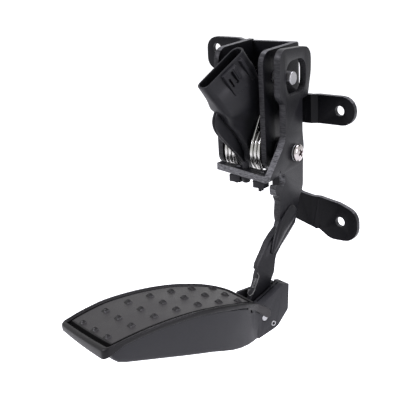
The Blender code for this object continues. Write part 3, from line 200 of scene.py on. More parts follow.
def make_grain_group():
    """Two noises: a fine one for height, a broad one that spreads roughness and tints the colour."""
    group, given, result = socket_group(
        "surface_grain",
        (("Colour", "Color"), ("Tint", "Color"), ("Fine Scale", "Float"), ("Broad Scale", "Float"),
         ("Roughness Low", "Float"), ("Roughness High", "Float"), ("Bump", "Float")),
        (("Colour", "Color"), ("Roughness", "Float"), ("Height", "Float"), ("Normal", "Vector")))
    place = group.nodes.new("ShaderNodeTexCoord")
    fine = group.nodes.new("ShaderNodeTexNoise")
    fine.inputs["Detail"].default_value = 3.0
    broad = group.nodes.new("ShaderNodeTexNoise")
    broad.inputs["Detail"].default_value = 4.0
    spread = group.nodes.new("ShaderNodeMapRange")
    spread.inputs["From Min"].default_value = 0.3
    spread.inputs["From Max"].default_value = 0.7
    blend = group.nodes.new("ShaderNodeMix")
    blend.data_type = "RGBA"
    bump = group.nodes.new("ShaderNodeBump")
    bump.inputs["Distance"].default_value = 0.0002
    link_all(group, (
        (place.outputs["Object"], fine.inputs["Vector"]), (place.outputs["Object"], broad.inputs["Vector"]),
        (given.outputs["Fine Scale"], fine.inputs["Scale"]), (given.outputs["Broad Scale"], broad.inputs["Scale"]),
        (broad.outputs["Fac"], spread.inputs["Value"]), (given.outputs["Roughness Low"], spread.inputs["To Min"]),
        (given.outputs["Roughness High"], spread.inputs["To Max"]), (spread.outputs["Result"], result.inputs["Roughness"]),
        (broad.outputs["Fac"], blend.inputs["Factor"]), (given.outputs["Colour"], blend.inputs["A"]),
        (given.outputs["Tint"], blend.inputs["B"]), (blend.outputs["Result"], result.inputs["Colour"]),
        (fine.outputs["Fac"], bump.inputs["Height"]), (given.outputs["Bump"], bump.inputs["Strength"]),
        (fine.outputs["Fac"], result.inputs["Height"]), (bump.outputs["Normal"], result.inputs["Normal"])))
    return group


surface_grain = make_grain_group()
print("group", surface_grain.name)

# %% [markdown]
# Where sheet metal was sheared, its edge is coarse: fine ridges run across the thickness, and the coat over
# them is thin and greyer. A face attribute says which faces are such edges and how much of the greyer colour
# each takes, and a second group turns it into a colour, a roughness and a height that the coat's material
# mixes in. On the bracket, edges that face up take the most, which is painted light from above.

# %% A group for sheared edges
def make_sheared_group():
    """Lighten and roughen where the attribute cut_edge_and_painted_light is 1, with noise stretched across the sheet as
    ridges; part of the lightening is painted light.
    """
    group, given, result = socket_group(
        "sheared_edge",
        (("Colour", "Color"), ("Edge Colour", "Color"), ("Roughness", "Float"), ("Edge Roughness", "Float"),
         ("Ridges", "Float"), ("Height", "Float"), ("Bump", "Float")),
        (("Colour", "Color"), ("Roughness", "Float"), ("Normal", "Vector")))
    mark = group.nodes.new("ShaderNodeAttribute")
    mark.attribute_name = "cut_edge_and_painted_light"
    place = group.nodes.new("ShaderNodeTexCoord")
    stretch = group.nodes.new("ShaderNodeMapping")
    stretch.inputs["Scale"].default_value = (0.16, 1.0, 1.0)
    ridges = group.nodes.new("ShaderNodeTexNoise")
    ridges.inputs["Detail"].default_value = 5.0
    ridges.inputs["Roughness"].default_value = 0.7
    patch = group.nodes.new("ShaderNodeMapRange")
    patch.inputs["From Min"].default_value = 0.34
    patch.inputs["From Max"].default_value = 0.66
    share = group.nodes.new("ShaderNodeMath")
    share.operation = "MULTIPLY"
    tone = group.nodes.new("ShaderNodeMix")
    tone.data_type = "RGBA"
    rough = group.nodes.new("ShaderNodeMix")
    raised = group.nodes.new("ShaderNodeMath")
    raised.operation = "MULTIPLY_ADD"
    bump = group.nodes.new("ShaderNodeBump")
    bump.inputs["Distance"].default_value = 0.0002
    link_all(group, (
        (place.outputs["Object"], stretch.inputs["Vector"]), (stretch.outputs["Vector"], ridges.inputs["Vector"]),
        (given.outputs["Ridges"], ridges.inputs["Scale"]), (ridges.outputs["Fac"], patch.inputs["Value"]),
        (patch.outputs["Result"], share.inputs[0]), (mark.outputs["Fac"], share.inputs[1]),
        (share.outputs[0], tone.inputs["Factor"]), (given.outputs["Colour"], tone.inputs["A"]),
        (given.outputs["Edge Colour"], tone.inputs["B"]), (tone.outputs["Result"], result.inputs["Colour"]),
        (mark.outputs["Fac"], rough.inputs["Factor"]), (given.outputs["Roughness"], rough.inputs["A"]),
        (given.outputs["Edge Roughness"], rough.inputs["B"]), (rough.outputs["Result"], result.inputs["Roughness"]),
        (share.outputs[0], raised.inputs[0]), (given.outputs["Height"], raised.inputs[2]),
        (raised.outputs[0], bump.inputs["Height"]), (given.outputs["Bump"], bump.inputs["Strength"]),
        (bump.outputs["Normal"], result.inputs["Normal"])))
    raised.inputs[1].default_value = 1.6
    return group


sheared_edge = make_sheared_group()
print("group", sheared_edge.name)

# %% [markdown]
# Each finish is one Principled shader. Its colour, roughness and normal come from the grain; how metallic it
# is and its specular level are plain values on the shader. The coat on sheet metal passes through the second
# group on its way.

# %% The finishes
def finish_of(name, colour, tint, rough, fine, broad, bump, metallic=0.0, gloss=0.5, edge=None):
    """A Principled material fed by the grain group; edge is the sheared edge's (colour, roughness)."""
    made = bpy.data.materials.new(name)
    made.use_nodes = True
    tree = made.node_tree
    shader = tree.nodes["Principled BSDF"]
    grain = tree.nodes.new("ShaderNodeGroup")
    grain.node_tree = surface_grain
    for socket, value in (("Colour", (*colour, 1.0)), ("Tint", (*tint, 1.0)), ("Fine Scale", fine),
                          ("Broad Scale", broad), ("Roughness Low", rough[0]), ("Roughness High", rough[1]),
                          ("Bump", bump)):
        grain.inputs[socket].default_value = value
    last = grain
    if edge:
        last = tree.nodes.new("ShaderNodeGroup")
        last.node_tree = sheared_edge
        last.inputs["Edge Colour"].default_value = (*edge[0], 1.0)
        last.inputs["Edge Roughness"].default_value = edge[1]
        last.inputs["Ridges"].default_value = 1500.0
        last.inputs["Bump"].default_value = bump
        link_all(tree, ((grain.outputs[n], last.inputs[n]) for n in ("Colour", "Roughness", "Height")))
    link_all(tree, ((last.outputs["Colour"], shader.inputs["Base Color"]),
                    (last.outputs["Roughness"], shader.inputs["Roughness"]),
                    (last.outputs["Normal"], shader.inputs["Normal"])))
    shader.inputs["Metallic"].default_value = metallic
    shader.inputs["Specular IOR Level"].default_value = gloss
    return made


powder_black = finish_of("powder_black", (0.0050, 0.0050, 0.0062), (0.0100, 0.0100, 0.0120), (0.32, 0.44),
                         2300.0, 55.0, 0.32, gloss=0.17, edge=((0.20, 0.20, 0.205), 0.50))
# The bracket's edge colour is the greyer cut edge and, on edges facing up, painted light from above.
bracket_black = finish_of("bracket_black", (0.0030, 0.0030, 0.0038), (0.0065, 0.0065, 0.0080), (0.30, 0.42),
                          2300.0, 55.0, 0.32, gloss=0.10, edge=((0.17, 0.17, 0.175), 0.50))
moulded_black = finish_of("moulded_black", (0.0060, 0.0060, 0.0074), (0.0110, 0.0110, 0.0132), (0.38, 0.52),
                          3600.0, 70.0, 0.25, gloss=0.18)
pad_plastic = finish_of("pad_plastic", (0.0150, 0.0150, 0.0172), (0.0220, 0.0220, 0.0250), (0.40, 0.52),
                        3600.0, 70.0, 0.25, gloss=0.21)
# A near-black finish for the sheet in the tread's groove: painted shade.
groove_shade = finish_of("groove_shade", (0.0012, 0.0012, 0.0013), (0.0020, 0.0019, 0.0020), (0.80, 0.90),
                         1700.0, 45.0, 0.20, gloss=0.05)
dull_wire = finish_of("dull_wire", (0.045, 0.045, 0.047), (0.16, 0.16, 0.16), (0.20, 0.34),
                      1500.0, 160.0, 0.10, metallic=1.0)
warm_rubber = finish_of("warm_rubber", (0.0100, 0.0090, 0.0097), (0.0180, 0.0160, 0.0170), (0.38, 0.54),
                        1700.0, 45.0, 0.45, gloss=0.34)
# The studs take a darker copy of the tread rubber: painted shade on facets turned from the light.
stud_rubber_painted_shade = finish_of("stud_rubber_painted_shade", (0.0060, 0.0056, 0.0062), (0.0110, 0.0100, 0.0112), (0.30, 0.40),
                        1700.0, 45.0, 0.20, gloss=0.26)
# The tread's rim and underside take a darker copy of the tread rubber than its field: painted shade on the rolled rim.
rim_rubber_painted_shade = finish_of("rim_rubber_painted_shade", (0.0040, 0.0038, 0.0042), (0.0075, 0.0070, 0.0078), (0.30, 0.44),
                       1700.0, 45.0, 0.30, gloss=0.16)
brushed_steel = finish_of("brushed_steel", (0.24, 0.24, 0.25), (0.36, 0.36, 0.37), (0.30, 0.46),
                          1100.0, 90.0, 0.20, metallic=1.0)
chrome_screw = finish_of("chrome_screw", (0.34, 0.31, 0.31), (0.50, 0.47, 0.46), (0.14, 0.24),
                         700.0, 120.0, 0.05, metallic=1.0)
bright_wire = finish_of("bright_wire", (0.34, 0.34, 0.33), (0.58, 0.57, 0.55), (0.16, 0.28),
                        1500.0, 160.0, 0.10, metallic=1.0)
tin_contact = finish_of("tin_contact", (0.56, 0.50, 0.36), (0.66, 0.60, 0.44), (0.25, 0.35),
                        900.0, 70.0, 0.05, metallic=1.0)
by_slot = {"black_coat": powder_black, "black_plastic": moulded_black, "tread_rubber": warm_rubber,
           "plain_steel": brushed_steel, "zinc_steel": chrome_screw, "spring_steel": bright_wire,
           "contact_metal": tin_contact}
for row in frame["record"]["subparts"]:
    node_mesh = frame["nodes"][row["node"]].data
    node_mesh.materials.clear()
    node_mesh.materials.append(by_slot[row["material_slot"]])
print("finishes on", len(frame["nodes"]), "frame pieces")

# %% [markdown]
# The formed pieces, such as the bracket and the arm, are right in the frame, but their edges are knife sharp
# and real ones catch a thin line of light. A merged copy with its flat triangles joined takes a Bevel, which
# rounds every edge sharper than thirty degrees. This way keeps all holes and bends exactly where they are.

# %% Softened copies of the formed pieces
def announce(piece):
    print(piece.name, len(piece.data.vertices), "points")
    return piece


def softened(node, body, finish, width, angle=30.0, segments=3, edge_rule=None, fit=None):
    """A copy of a frame piece, merged, joined and maybe fitted by a rule on its points, with rounded edges."""
    work = bmesh.new()
    work.from_mesh(frame["nodes"][node].data)
    bmesh.ops.remove_doubles(work, verts=work.verts, dist=2e-5)
    bmesh.ops.dissolve_limit(work, angle_limit=math.radians(0.6), verts=work.verts, edges=work.edges)
    mesh = bpy.data.meshes.new("soft_" + node)
    work.to_mesh(mesh)
    work.free()
    if fit is not None:
        points = np.empty(3 * len(mesh.vertices))
        mesh.vertices.foreach_get("co", points)
        mesh.vertices.foreach_set("co", fit(points.reshape(-1, 3)).ravel())
        mesh.update()
    if edge_rule is not None:
        count = len(mesh.polygons)
        normals = np.empty(3 * count)
        centres = np.empty(3 * count)
        mesh.polygons.foreach_get("normal", normals)
        mesh.polygons.foreach_get("center", centres)
        marked = edge_rule(normals.reshape(-1, 3), centres.reshape(-1, 3) - PIVOT)
        mesh.attributes.new("cut_edge_and_painted_light", "FLOAT", "FACE").data.foreach_set("value", marked.astype(np.float32))
    piece = bpy.data.objects.new("soft_" + node, mesh)
    bpy.context.collection.objects.link(piece)
    mesh.materials.append(finish)
    mesh.shade_smooth()
    soft = piece.modifiers.new("soft_edges", "BEVEL")
    soft.width = width
    soft.segments = segments
    soft.limit_method = "ANGLE"
    soft.angle_limit = math.radians(angle)
    soft.use_clamp_overlap = True
    soft.harden_normals = True
    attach(piece, body)
    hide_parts(node)
    return announce(piece)


def arm_edges(normals, centres):
    """How much of the greyer edge colour an edge face takes: its normal lies in the sheet; most on the flange, less up
    the neck.
    """
    flange = (centres[:, 0] < -0.0052) & (centres[:, 2] > -0.020) & (centres[:, 2] < -0.004)
    on_edge = np.where(flange, np.abs(normals[:, 2]) < 0.5, np.abs(normals[:, 0]) < 0.5)
    edge_lightness = np.interp(centres[:, 2], (-0.060, -0.030, -0.021, 0.003, 0.010, 0.020), (0.10, 0.25, 1.0, 1.0, 0.30, 0.16))
    return on_edge * edge_lightness


def bracket_edges_lit_from_above(normals, centres):
    """How much of the greyer edge colour an edge face takes: most where it faces up, which is painted light from above.
    """
    wall = (centres[:, 1] < 0.0238) & (np.abs(centres[:, 0] + 0.033) < 0.0206)
    on_edge = np.where(wall, np.abs(normals[:, 0]) < 0.5, np.abs(normals[:, 1]) < 0.5)
    # Faces that point up get the full edge colour: painted light from above.
    return on_edge * np.where(normals[:, 2] > 0.7, 1.0, 0.25)


def leg_fit(points):
    """Draw the inner edge of the back plate's leg to the right, where the arm hides it in the photograph."""
    spot = points - PIVOT
    inner = (spot[:, 1] > 0.0200) & (spot[:, 0] < -0.0295) & (spot[:, 0] > -0.0440) & (spot[:, 2] < -0.0105)
    spot[:, 0] += 0.0036 * inner * np.interp(spot[:, 2], (-0.0177, -0.0109), (1.0, 0.0))
    return spot + PIVOT


def strip_fit(points):
    """Draw the rear edge of the formed strip forward where it narrows above the foot, most at its middle."""
    spot = points - PIVOT
    front = np.interp(spot[:, 2], (-0.0620, -0.0568, -0.0528, -0.0494), (-0.0424, -0.0378, -0.0312, -0.0236))
    rear = np.interp(spot[:, 2], (-0.0662, -0.0622, -0.0572, -0.0512), (-0.0274, -0.0216, -0.0134, -0.0038))
    share = np.clip((spot[:, 1] - front) / (rear - front), 0.0, 1.0)
    draw = np.interp(spot[:, 2], (-0.0720, -0.0690, -0.0662, -0.0615, -0.0567, -0.0510, -0.0465),
                     (0.0, 0.0002, 0.0056, 0.0036, 0.0003, -0.0014, 0.0))
    spot[:, 1] -= draw * share
    neck = (spot[:, 2] > -0.0425) & (spot[:, 2] < -0.0300) & (spot[:, 1] < -0.0180)
    spot[:, 1] -= 0.0013 * neck
    slot = ((spot[:, 2] > -0.0178) & (spot[:, 2] < -0.0152) & (spot[:, 1] > -0.0200) & (spot[:, 1] < -0.0130)
            & (spot[:, 0] > -0.0055))
    spot[:, 2] -= 0.0030 * slot
    foot = (spot[:, 2] < -0.0700) & (spot[:, 1] < -0.0465) & (spot[:, 2] > -0.0960)
    spot[:, 1] -= 0.0008 * foot
    return spot + PIVOT


BASE_WIDER = ((-0.0480, -0.0400, -0.0305, -0.0205, -0.0115, -0.0040, 0.0030, 0.0110, 0.0180, 0.0225),
              (0.0, 0.0006, 0.0016, 0.0026, 0.0030, 0.0026, 0.0024, 0.0019, 0.0015, 0.0011))
BASE_LOWER = ((-0.0480, -0.0400, -0.0305, -0.0205, -0.0125, -0.0085, -0.0060, -0.0040, 0.0030, 0.0110, 0.0180, 0.0225),
              (0.0, 0.0004, 0.0012, 0.0008, 0.0001, 0.0, 0.0007, 0.0008, 0.0007, 0.0004, -0.0007, -0.0007))
BASE_FLOOR = ((-0.0530, -0.0430, -0.0350, -0.0270, -0.0190, -0.0125, -0.0085, -0.0052, 0.0074, 0.0110, 0.0205, 0.0215),
              (-0.0073, -0.0092, -0.0107, -0.0120, -0.0131, -0.0138, -0.0139, -0.0133, -0.0100, -0.0089, -0.0008,
               0.0012))
BASE_FACE = ((-0.0530, -0.0430, -0.0350, -0.0270, -0.0190, -0.0125, -0.0085, -0.0050),
             (0.0262, 0.0246, 0.0224, 0.0195, 0.0163, 0.0133, 0.0113, 0.0110))


def widened(spot):
    """Move pad coordinates on the near side outwards by the amount for their place along the pad."""
    spot = np.array(spot, float)
    spot[:, 0] += np.interp(spot[:, 1], *BASE_WIDER) * np.clip((spot[:, 0] - 0.0073) / 0.0037, 0.0, 1.0)
    return spot


def block_fit(points):
    """Square the near lower corner, lower it, widen the near side, draw the nose back and raise the far wall."""
    spot = (points - PIVOT - HINGE) @ PAD_TURN.T
    floor = np.interp(spot[:, 1], *BASE_FLOOR)
    face = np.interp(spot[:, 1], *BASE_FACE)
    corner = ((face - spot[:, 0] < 0.0030) & (spot[:, 2] - floor < 0.0030) & (spot[:, 1] < -0.0050)
              & (spot[:, 1] > -0.0480))
    spot[:, 0] += np.where(corner, 0.5 * (face - spot[:, 0]), 0.0)
    spot[:, 2] += np.where(corner, 0.5 * (floor - spot[:, 2]), 0.0)
    low = np.clip(1.2 - (spot[:, 2] - floor) / 0.0020, 0.0, 1.0) * np.clip(spot[:, 0] / 0.0080, 0.0, 1.0)
    spot[:, 2] -= np.interp(spot[:, 1], *BASE_LOWER) * low
    spot = widened(spot)
    spot[:, 1] += np.interp(spot[:, 1], (-0.1344, -0.1331, -0.1279, -0.1210), (0.0028, 0.0024, 0.0010, 0.0))
    far = (spot[:, 0] < -0.0055) & (spot[:, 2] > 0.0130) & (spot[:, 1] > -0.0050) & (spot[:, 1] < -0.0034)
    spot[:, 1] -= 0.0042 * far
    spot[:, 2] = np.maximum(spot[:, 2] + 0.0004 * far, -0.0139)
    return spot @ PAD_TURN + HINGE + PIVOT


softened("mount_bracket", BRACKET, bracket_black, 0.0005, edge_rule=bracket_edges_lit_from_above, fit=leg_fit)
softened("pedal_arm", ARM, powder_black, 0.0007, edge_rule=arm_edges, fit=strip_fit)
softened("pad_base", PAD, pad_plastic, 0.0005, fit=block_fit)


softened("spring_seat_left", ARM, moulded_black, 0.0002, segments=2)
softened("spring_seat_right", ARM, moulded_black, 0.0002, segments=2)
softened("shaft_clip", ARM, brushed_steel, 0.0002, segments=2)

# %% [markdown]
# All the other pieces are worked out as arrays of points. A profile carried round an axis or along a path
# gives a grid of points, and the faces of such a grid follow from its size alone, so a few small functions
# serve every piece.

# %% Grids, profiles and paths
def quads(rows, columns, close_rows=False):
    """The four corners of each face of a grid whose columns close on themselves, and its rows too if asked."""
    i = np.arange(rows if close_rows else rows - 1)[:, None]
    j = np.arange(columns)[None, :]
    next_i = (i + 1) % rows
    next_j = (j + 1) % columns
    return np.stack([i * columns + j, i * columns + next_j, next_i * columns + next_j, next_i * columns + j],
                    -1).reshape(-1, 4)


def skinned(rings, close_rows=False):
    """Points and faces of a stack of rings (rows, columns, 3); open ends are closed by fans to their middles."""
    rings = np.asarray(rings, float)
    rows, columns = rings.shape[:2]
    points = rings.reshape(-1, 3)
    faces = quads(rows, columns, close_rows).tolist()
    if not close_rows:
        j = np.arange(columns)
        last = (rows - 1) * columns
        first_fan = np.stack([(j + 1) % columns, j, np.full(columns, rows * columns)], -1)
        last_fan = np.stack([last + j, last + (j + 1) % columns, np.full(columns, rows * columns + 1)], -1)
        points = np.vstack([points, rings[0].mean(0), rings[-1].mean(0)])
        faces += first_fan.tolist() + last_fan.tolist()
    return points, faces


def joined(*parts):
    """One set of points and faces from several."""
    counts = np.cumsum([0] + [len(points) for points, faces in parts])
    points = np.vstack([points for points, faces in parts])
    faces = [[int(v) + int(start) for v in face] for (_, part), start in zip(parts, counts) for face in part]
    return points, faces


def eased(corners, reach, steps=4, closed=False):
    """Replace each corner by a parabola that begins and ends at most reach from it, or 0.45 of a side."""
    p = np.asarray(corners, float)
    to_before = np.roll(p, 1, 0) - p
    to_after = np.roll(p, -1, 0) - p
    before = np.linalg.norm(to_before, axis=1, keepdims=True)
    after = np.linalg.norm(to_after, axis=1, keepdims=True)
    reach = np.broadcast_to(np.asarray(reach, float).reshape(-1, 1), before.shape)
    a = p + to_before / before * np.minimum(reach, 0.45 * before)
    b = p + to_after / after * np.minimum(reach, 0.45 * after)
    t = np.linspace(0.0, 1.0, steps + 1)[None, :, None]
    arcs = (1 - t) ** 2 * a[:, None] + 2 * t * (1 - t) * p[:, None] + t ** 2 * b[:, None]
    if closed:
        return arcs.reshape(-1, p.shape[1])
    return np.vstack([p[:1], arcs[1:-1].reshape(-1, p.shape[1]), p[-1:]])


def revolved(profile, centre, axis=(1.0, 0.0, 0.0), sides=72, hollow=False):
    """Carry a profile of (distance along the axis, radius) round it; a hollow profile closes on itself."""
    axis = np.asarray(axis, float)
    u = np.cross(axis, (0.0, 0.0, 1.0))
    if np.linalg.norm(u) < 0.1:
        u = np.cross(axis, (0.0, 1.0, 0.0))
    u /= np.linalg.norm(u)
    v = np.cross(axis, u)
    turn = np.linspace(0.0, 2 * np.pi, sides, endpoint=False)
    around = np.cos(turn)[:, None] * u + np.sin(turn)[:, None] * v
    profile = np.asarray(profile, float)
    rings = np.asarray(centre) + profile[:, None, :1] * axis + profile[:, None, 1:] * around[None]
    return skinned(rings, close_rows=hollow)


def resampled(path, spacing):
    """Points at equal spacing along a path."""
    path = np.asarray(path, float)
    length = np.concatenate([[0.0], np.cumsum(np.linalg.norm(np.diff(path, axis=0), axis=1))])
    at = np.linspace(0.0, length[-1], max(4, int(length[-1] / spacing)))
    return np.stack([np.interp(at, length, path[:, k]) for k in range(3)], -1)


def wire(path, radius, sides=14, aside=(0.7071, 0.0, 0.7071), ends=0.35):
    """A round section carried along a path; aside is a direction the path never takes, and its ends are eased."""
    ahead = np.gradient(path, axis=0)
    ahead /= np.linalg.norm(ahead, axis=1, keepdims=True)
    side = np.asarray(aside) - ahead * (ahead @ np.asarray(aside))[:, None]
    side /= np.linalg.norm(side, axis=1, keepdims=True)
    up_side = np.cross(ahead, side)
    turn = np.linspace(0.0, 2 * np.pi, sides, endpoint=False)
    section = radius * (np.cos(turn)[None, :, None] * side[:, None] + np.sin(turn)[None, :, None] * up_side[:, None])
    rings = path[:, None] + section
    first = path[0] + section[0] * 0.7 - ahead[0] * radius * ends
    last = path[-1] + section[-1] * 0.7 + ahead[-1] * radius * ends
    return skinned(np.concatenate([first[None], rings, last[None]]))


def piece(name, shape, body, slot, finish, replaces=(), angle=38.0):
    """Put points and faces into a mesh with outward faces; give it a finish and, unless it bends, a body; the slot is
    not used.
    """
    points, faces = shape
    mesh = bpy.data.meshes.new(name)
    mesh.from_pydata(np.asarray(points).tolist(), [], faces)
    work = bmesh.new()
    work.from_mesh(mesh)
    bmesh.ops.remove_doubles(work, verts=work.verts, dist=1e-6)
    bmesh.ops.recalc_face_normals(work, faces=work.faces)
    work.to_mesh(mesh)
    work.free()
    mesh.materials.append(finish)
    mesh.shade_smooth()
    mesh.set_sharp_from_angle(angle=math.radians(angle))
    made = bpy.data.objects.new(name, mesh)
    bpy.context.collection.objects.link(made)
    if body:
        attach(made, body)
    if replaces:
        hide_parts(*replaces)
    return announce(made)


# %% [markdown]
# The pieces on the pivot axis are turned parts: a shaft, bushes, spacer, washer and a snap ring. Each is a
# profile with small chamfers, carried round the axis. The axis runs along X through the pivot.

# %% Turned pieces on the pivot
OUTER_LEFT, INNER_LEFT, INNER_RIGHT, OUTER_RIGHT = -0.0535, -0.0495, -0.0165, -0.0125
TOUCH = 0.0003
SHAFT_R = 0.005
axis_place = from_pivot([0.0, 0.0, 0.0])


def ring_profile(low, high, inner, outer, edge):
    """A rectangle of (along, radius) with eased corners, closed on itself."""
    return eased([(low, inner), (high, inner), (high, outer), (low, outer)], edge, 3, closed=True)


for side, face, out_way, inner_face in (("left", OUTER_LEFT, -1, INNER_LEFT), ("right", OUTER_RIGHT, 1, INNER_RIGHT)):
    start = face + out_way * TOUCH
    stop = inner_face - out_way * TOUCH
    profile = eased([(stop, 0.0053), (stop, 0.0066), (start, 0.0066), (start, 0.0095),
                     (start + out_way * 0.0012, 0.0095), (start + out_way * 0.0012, 0.0053)],
                    [0.0002, 0.0002, 0.0001, 0.0003, 0.0004, 0.0002], 3, closed=True)
    piece("bush_" + side, revolved(profile, axis_place, hollow=True), BRACKET, "black_plastic", moulded_black,
          ("shaft_bush_" + side,))
clip_left = OUTER_LEFT - TOUCH - 0.0012 - TOUCH - 0.0010
shaft = eased([(clip_left - 0.0018, 0.0), (clip_left - 0.0018, 0.0042), (clip_left - 0.0010, SHAFT_R),
               (clip_left - 0.0002, SHAFT_R), (clip_left - 0.0002, 0.0042), (clip_left + 0.0012, 0.0042),
               (clip_left + 0.0012, SHAFT_R), (-0.0010, SHAFT_R), (-0.0006, 0.0046), (-0.0006, 0.0033),
               (-0.0141, 0.0033), (-0.0141, 0.0)], 0.0002, 3)
piece("shaft", revolved(shaft, axis_place), ARM, "plain_steel", brushed_steel, ("pivot_shaft",))
piece("spacer", revolved(ring_profile(-0.0107, -0.0053, 0.0053, 0.0089, 0.0004), axis_place, hollow=True),
      ARM, "plain_steel", brushed_steel, ("arm_spacer",))
piece("washer", revolved(ring_profile(0.0003, 0.0012, 0.0033, 0.0060, 0.0003), axis_place, hollow=True),
      ARM, "plain_steel", brushed_steel, ("pivot_washer",))
for side, low, high in (("left", -0.0489, -0.0399), ("right", -0.0277, -0.0171)):
    flange = (high - low) * 0.12
    spool = eased([(low, 0.0053), (high, 0.0053), (high, 0.0152), (high - flange, 0.0152), (high - flange, 0.0146),
                   (low + flange, 0.0146), (low + flange, 0.0152), (low, 0.0152)], 0.0003, 3, closed=True)
    piece("drum_" + side, revolved(spool, axis_place, hollow=True), BRACKET, "black_plastic", moulded_black,
          ("spring_drum_" + side,))

# %% [markdown]
# The stop pin is riveted through the right wall. Its wide end was turned on a lathe, so it has a bright
# chamfered rim round a duller face with faint rings, which come from a ripple in the profile itself.

# %% The stop pin
STOP_Y, STOP_Z = -0.0053, 0.05495
face_r = np.linspace(0.0, 0.0040, 24)
rings_on_face = np.stack([0.0030 + 0.00003 * np.sin(face_r * 2 * np.pi / 0.0008), face_r], -1)
stop_body = eased([(0.0030, 0.0040), (0.0028, 0.00455), (0.0022, 0.00475), (OUTER_RIGHT + TOUCH, 0.00475),
                   (OUTER_RIGHT + TOUCH, 0.0034), (INNER_RIGHT - TOUCH, 0.0034), (INNER_RIGHT - TOUCH, 0.00445),
                   (-0.0199, 0.00445), (-0.0205, 0.00375), (-0.0205, 0.0)], 0.00025, 3)
piece("stop", revolved(np.vstack([rings_on_face, stop_body[1:]]), from_pivot([0.0, STOP_Y, STOP_Z])),
      BRACKET, "plain_steel", brushed_steel, ("stop_pin",))

# %% [markdown]
# The screw has a pan head with a cross recess. Its head is a grid of radius and angle: the height is a dome
# that rolls over at the rim, less a smooth step wherever the point lies in one of the two crossed bars.

# %% The screw
HEAD_R, HEAD_H, UNDER_HEAD = 0.00625, 0.0036, 0.0013


def smooth_step(value):
    value = np.clip(value, 0.0, 1.0)
    return value * value * (3 - 2 * value)


def screw_head(rings=64, sides=160):
    """Dome height minus the recess depth, over the radius; then the skirt, the underside and the threaded end."""
    radius = HEAD_R * np.linspace(0.004, 1.0, rings) ** 0.85
    turn = np.linspace(0.0, 2 * np.pi, sides, endpoint=False)
    share = radius / HEAD_R
    dome = UNDER_HEAD + HEAD_H * (1 - share ** 3.2) ** 0.42 * 0.74 + HEAD_H * 0.26
    a = radius[:, None] * np.cos(turn - math.radians(22.0))
    b = radius[:, None] * np.sin(turn - math.radians(22.0))
    bars = [smooth_step((0.0031 - np.abs(p)) / 0.0006) * smooth_step((0.00105 - np.abs(q)) / 0.00035)
            for p, q in ((a, b), (b, a))]
    recess = 0.0023 * np.maximum(bars[0], bars[1]) * smooth_step((0.0034 - radius[:, None]) / 0.0012 + 0.25)
    x = dome[:, None] - recess
    head = np.stack([x, radius[:, None] * np.cos(turn), radius[:, None] * np.sin(turn)], -1)
    rest = eased([(UNDER_HEAD + HEAD_H * 0.26, HEAD_R), (UNDER_HEAD, HEAD_R - 0.0003), (UNDER_HEAD, 0.0030),
                  (-0.0123, 0.0030), (-0.0129, 0.0024)], 0.0002, 3)
    lower = np.stack([np.broadcast_to(rest[:, :1], (len(rest), sides)), rest[:, 1:] * np.cos(turn),
                      rest[:, 1:] * np.sin(turn)], -1)
    return skinned(np.concatenate([head, lower[1:]]) + axis_place)


piece("screw", screw_head(), ARM, "zinc_steel", chrome_screw, ("pivot_screw",))

# %% [markdown]
# Each return spring is one wire: a straight leg that hooks through the back plate, two turns round its drum
# and a foot that runs under the flange into its seat. The bracket holds one end and the arm the other; the
# wire is given to neither body.

# %% The return springs
WIRE_R, COIL_R, COIL_PITCH = 0.0014, 0.0172, 0.0031
LEAVE, LEG_Z, PLATE_FRONT = math.radians(33.0), 0.0530, 0.0240
COIL_TRAVEL = COIL_PITCH * (2 + (33.0 + 15.0) / 360.0)


def return_spring(start_x, seat_x, seat_y, seat_z):
    """Leg, helix of falling angle and growing X, then down and forward under the flange to the seat."""
    total = LEAVE + 4 * math.pi + math.radians(15.0)
    turn = LEAVE - np.linspace(0.0, total, 260)
    coil = np.stack([start_x + COIL_TRAVEL * np.linspace(0.0, 1.0, 260), -COIL_R * np.cos(turn),
                     COIL_R * np.sin(turn)], -1)
    rise = np.array([0.0, math.sin(LEAVE), math.cos(LEAVE)])
    knee = coil[0] + rise * ((LEG_Z - coil[0, 2]) / rise[2])
    leg = eased([(start_x, PLATE_FRONT + 0.0024, LEG_Z), knee, coil[0]], 0.006, 10)
    last = coil[-1]
    low = np.array([last[0], last[1] + (last[2] - seat_z) * math.tan(math.radians(15.0)), seat_z])
    foot = eased([last, low, (last[0], seat_y, seat_z), (seat_x - 0.002, seat_y, seat_z)], 0.0040, 10)
    return resampled(np.vstack([leg, coil[1:], foot[1:]]), 0.0006)


def under_flange(x):
    """Height of the flange's underside at x, which rises to the left by 3.1 degrees."""
    return -0.0103 + (-0.005 - x) * math.tan(math.radians(3.1)) - 0.005 / math.cos(math.radians(3.1))


def seat_line(x):
    """The middle between the flange's two edges, which both sweep back to the left."""
    return -(0.0334 + 0.0212) / 2 + (0.0085 + 0.0027) / 2 * (-0.005 - x) / (-0.005 + 0.0510)


for side, start_x, seat_x in (("left", INNER_LEFT + 0.0018, None), ("right", -0.0280 + 0.0019, None)):
    seat_x = start_x + COIL_TRAVEL + 0.0021 + 0.0046
    path = return_spring(start_x, seat_x, seat_line(seat_x), under_flange(seat_x) - 0.0028)
    made = piece("return_wire_" + side, wire(from_pivot(path), WIRE_R), None, "spring_steel", bright_wire,
                 ("return_spring_" + side,), angle=60.0)
    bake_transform(made)

# %% [markdown]
# The tread is one rubber moulding: a thick roll at the front, a narrow rim along the sides, a groove inside
# it and a field of studs. Its edge is a profile carried along the outline, with the height of a crowned curve
# added everywhere. Inside the groove, straight lines across join the two sides. The studs are one blunt
# pyramid, a height over a small grid, repeated over the field in one array.

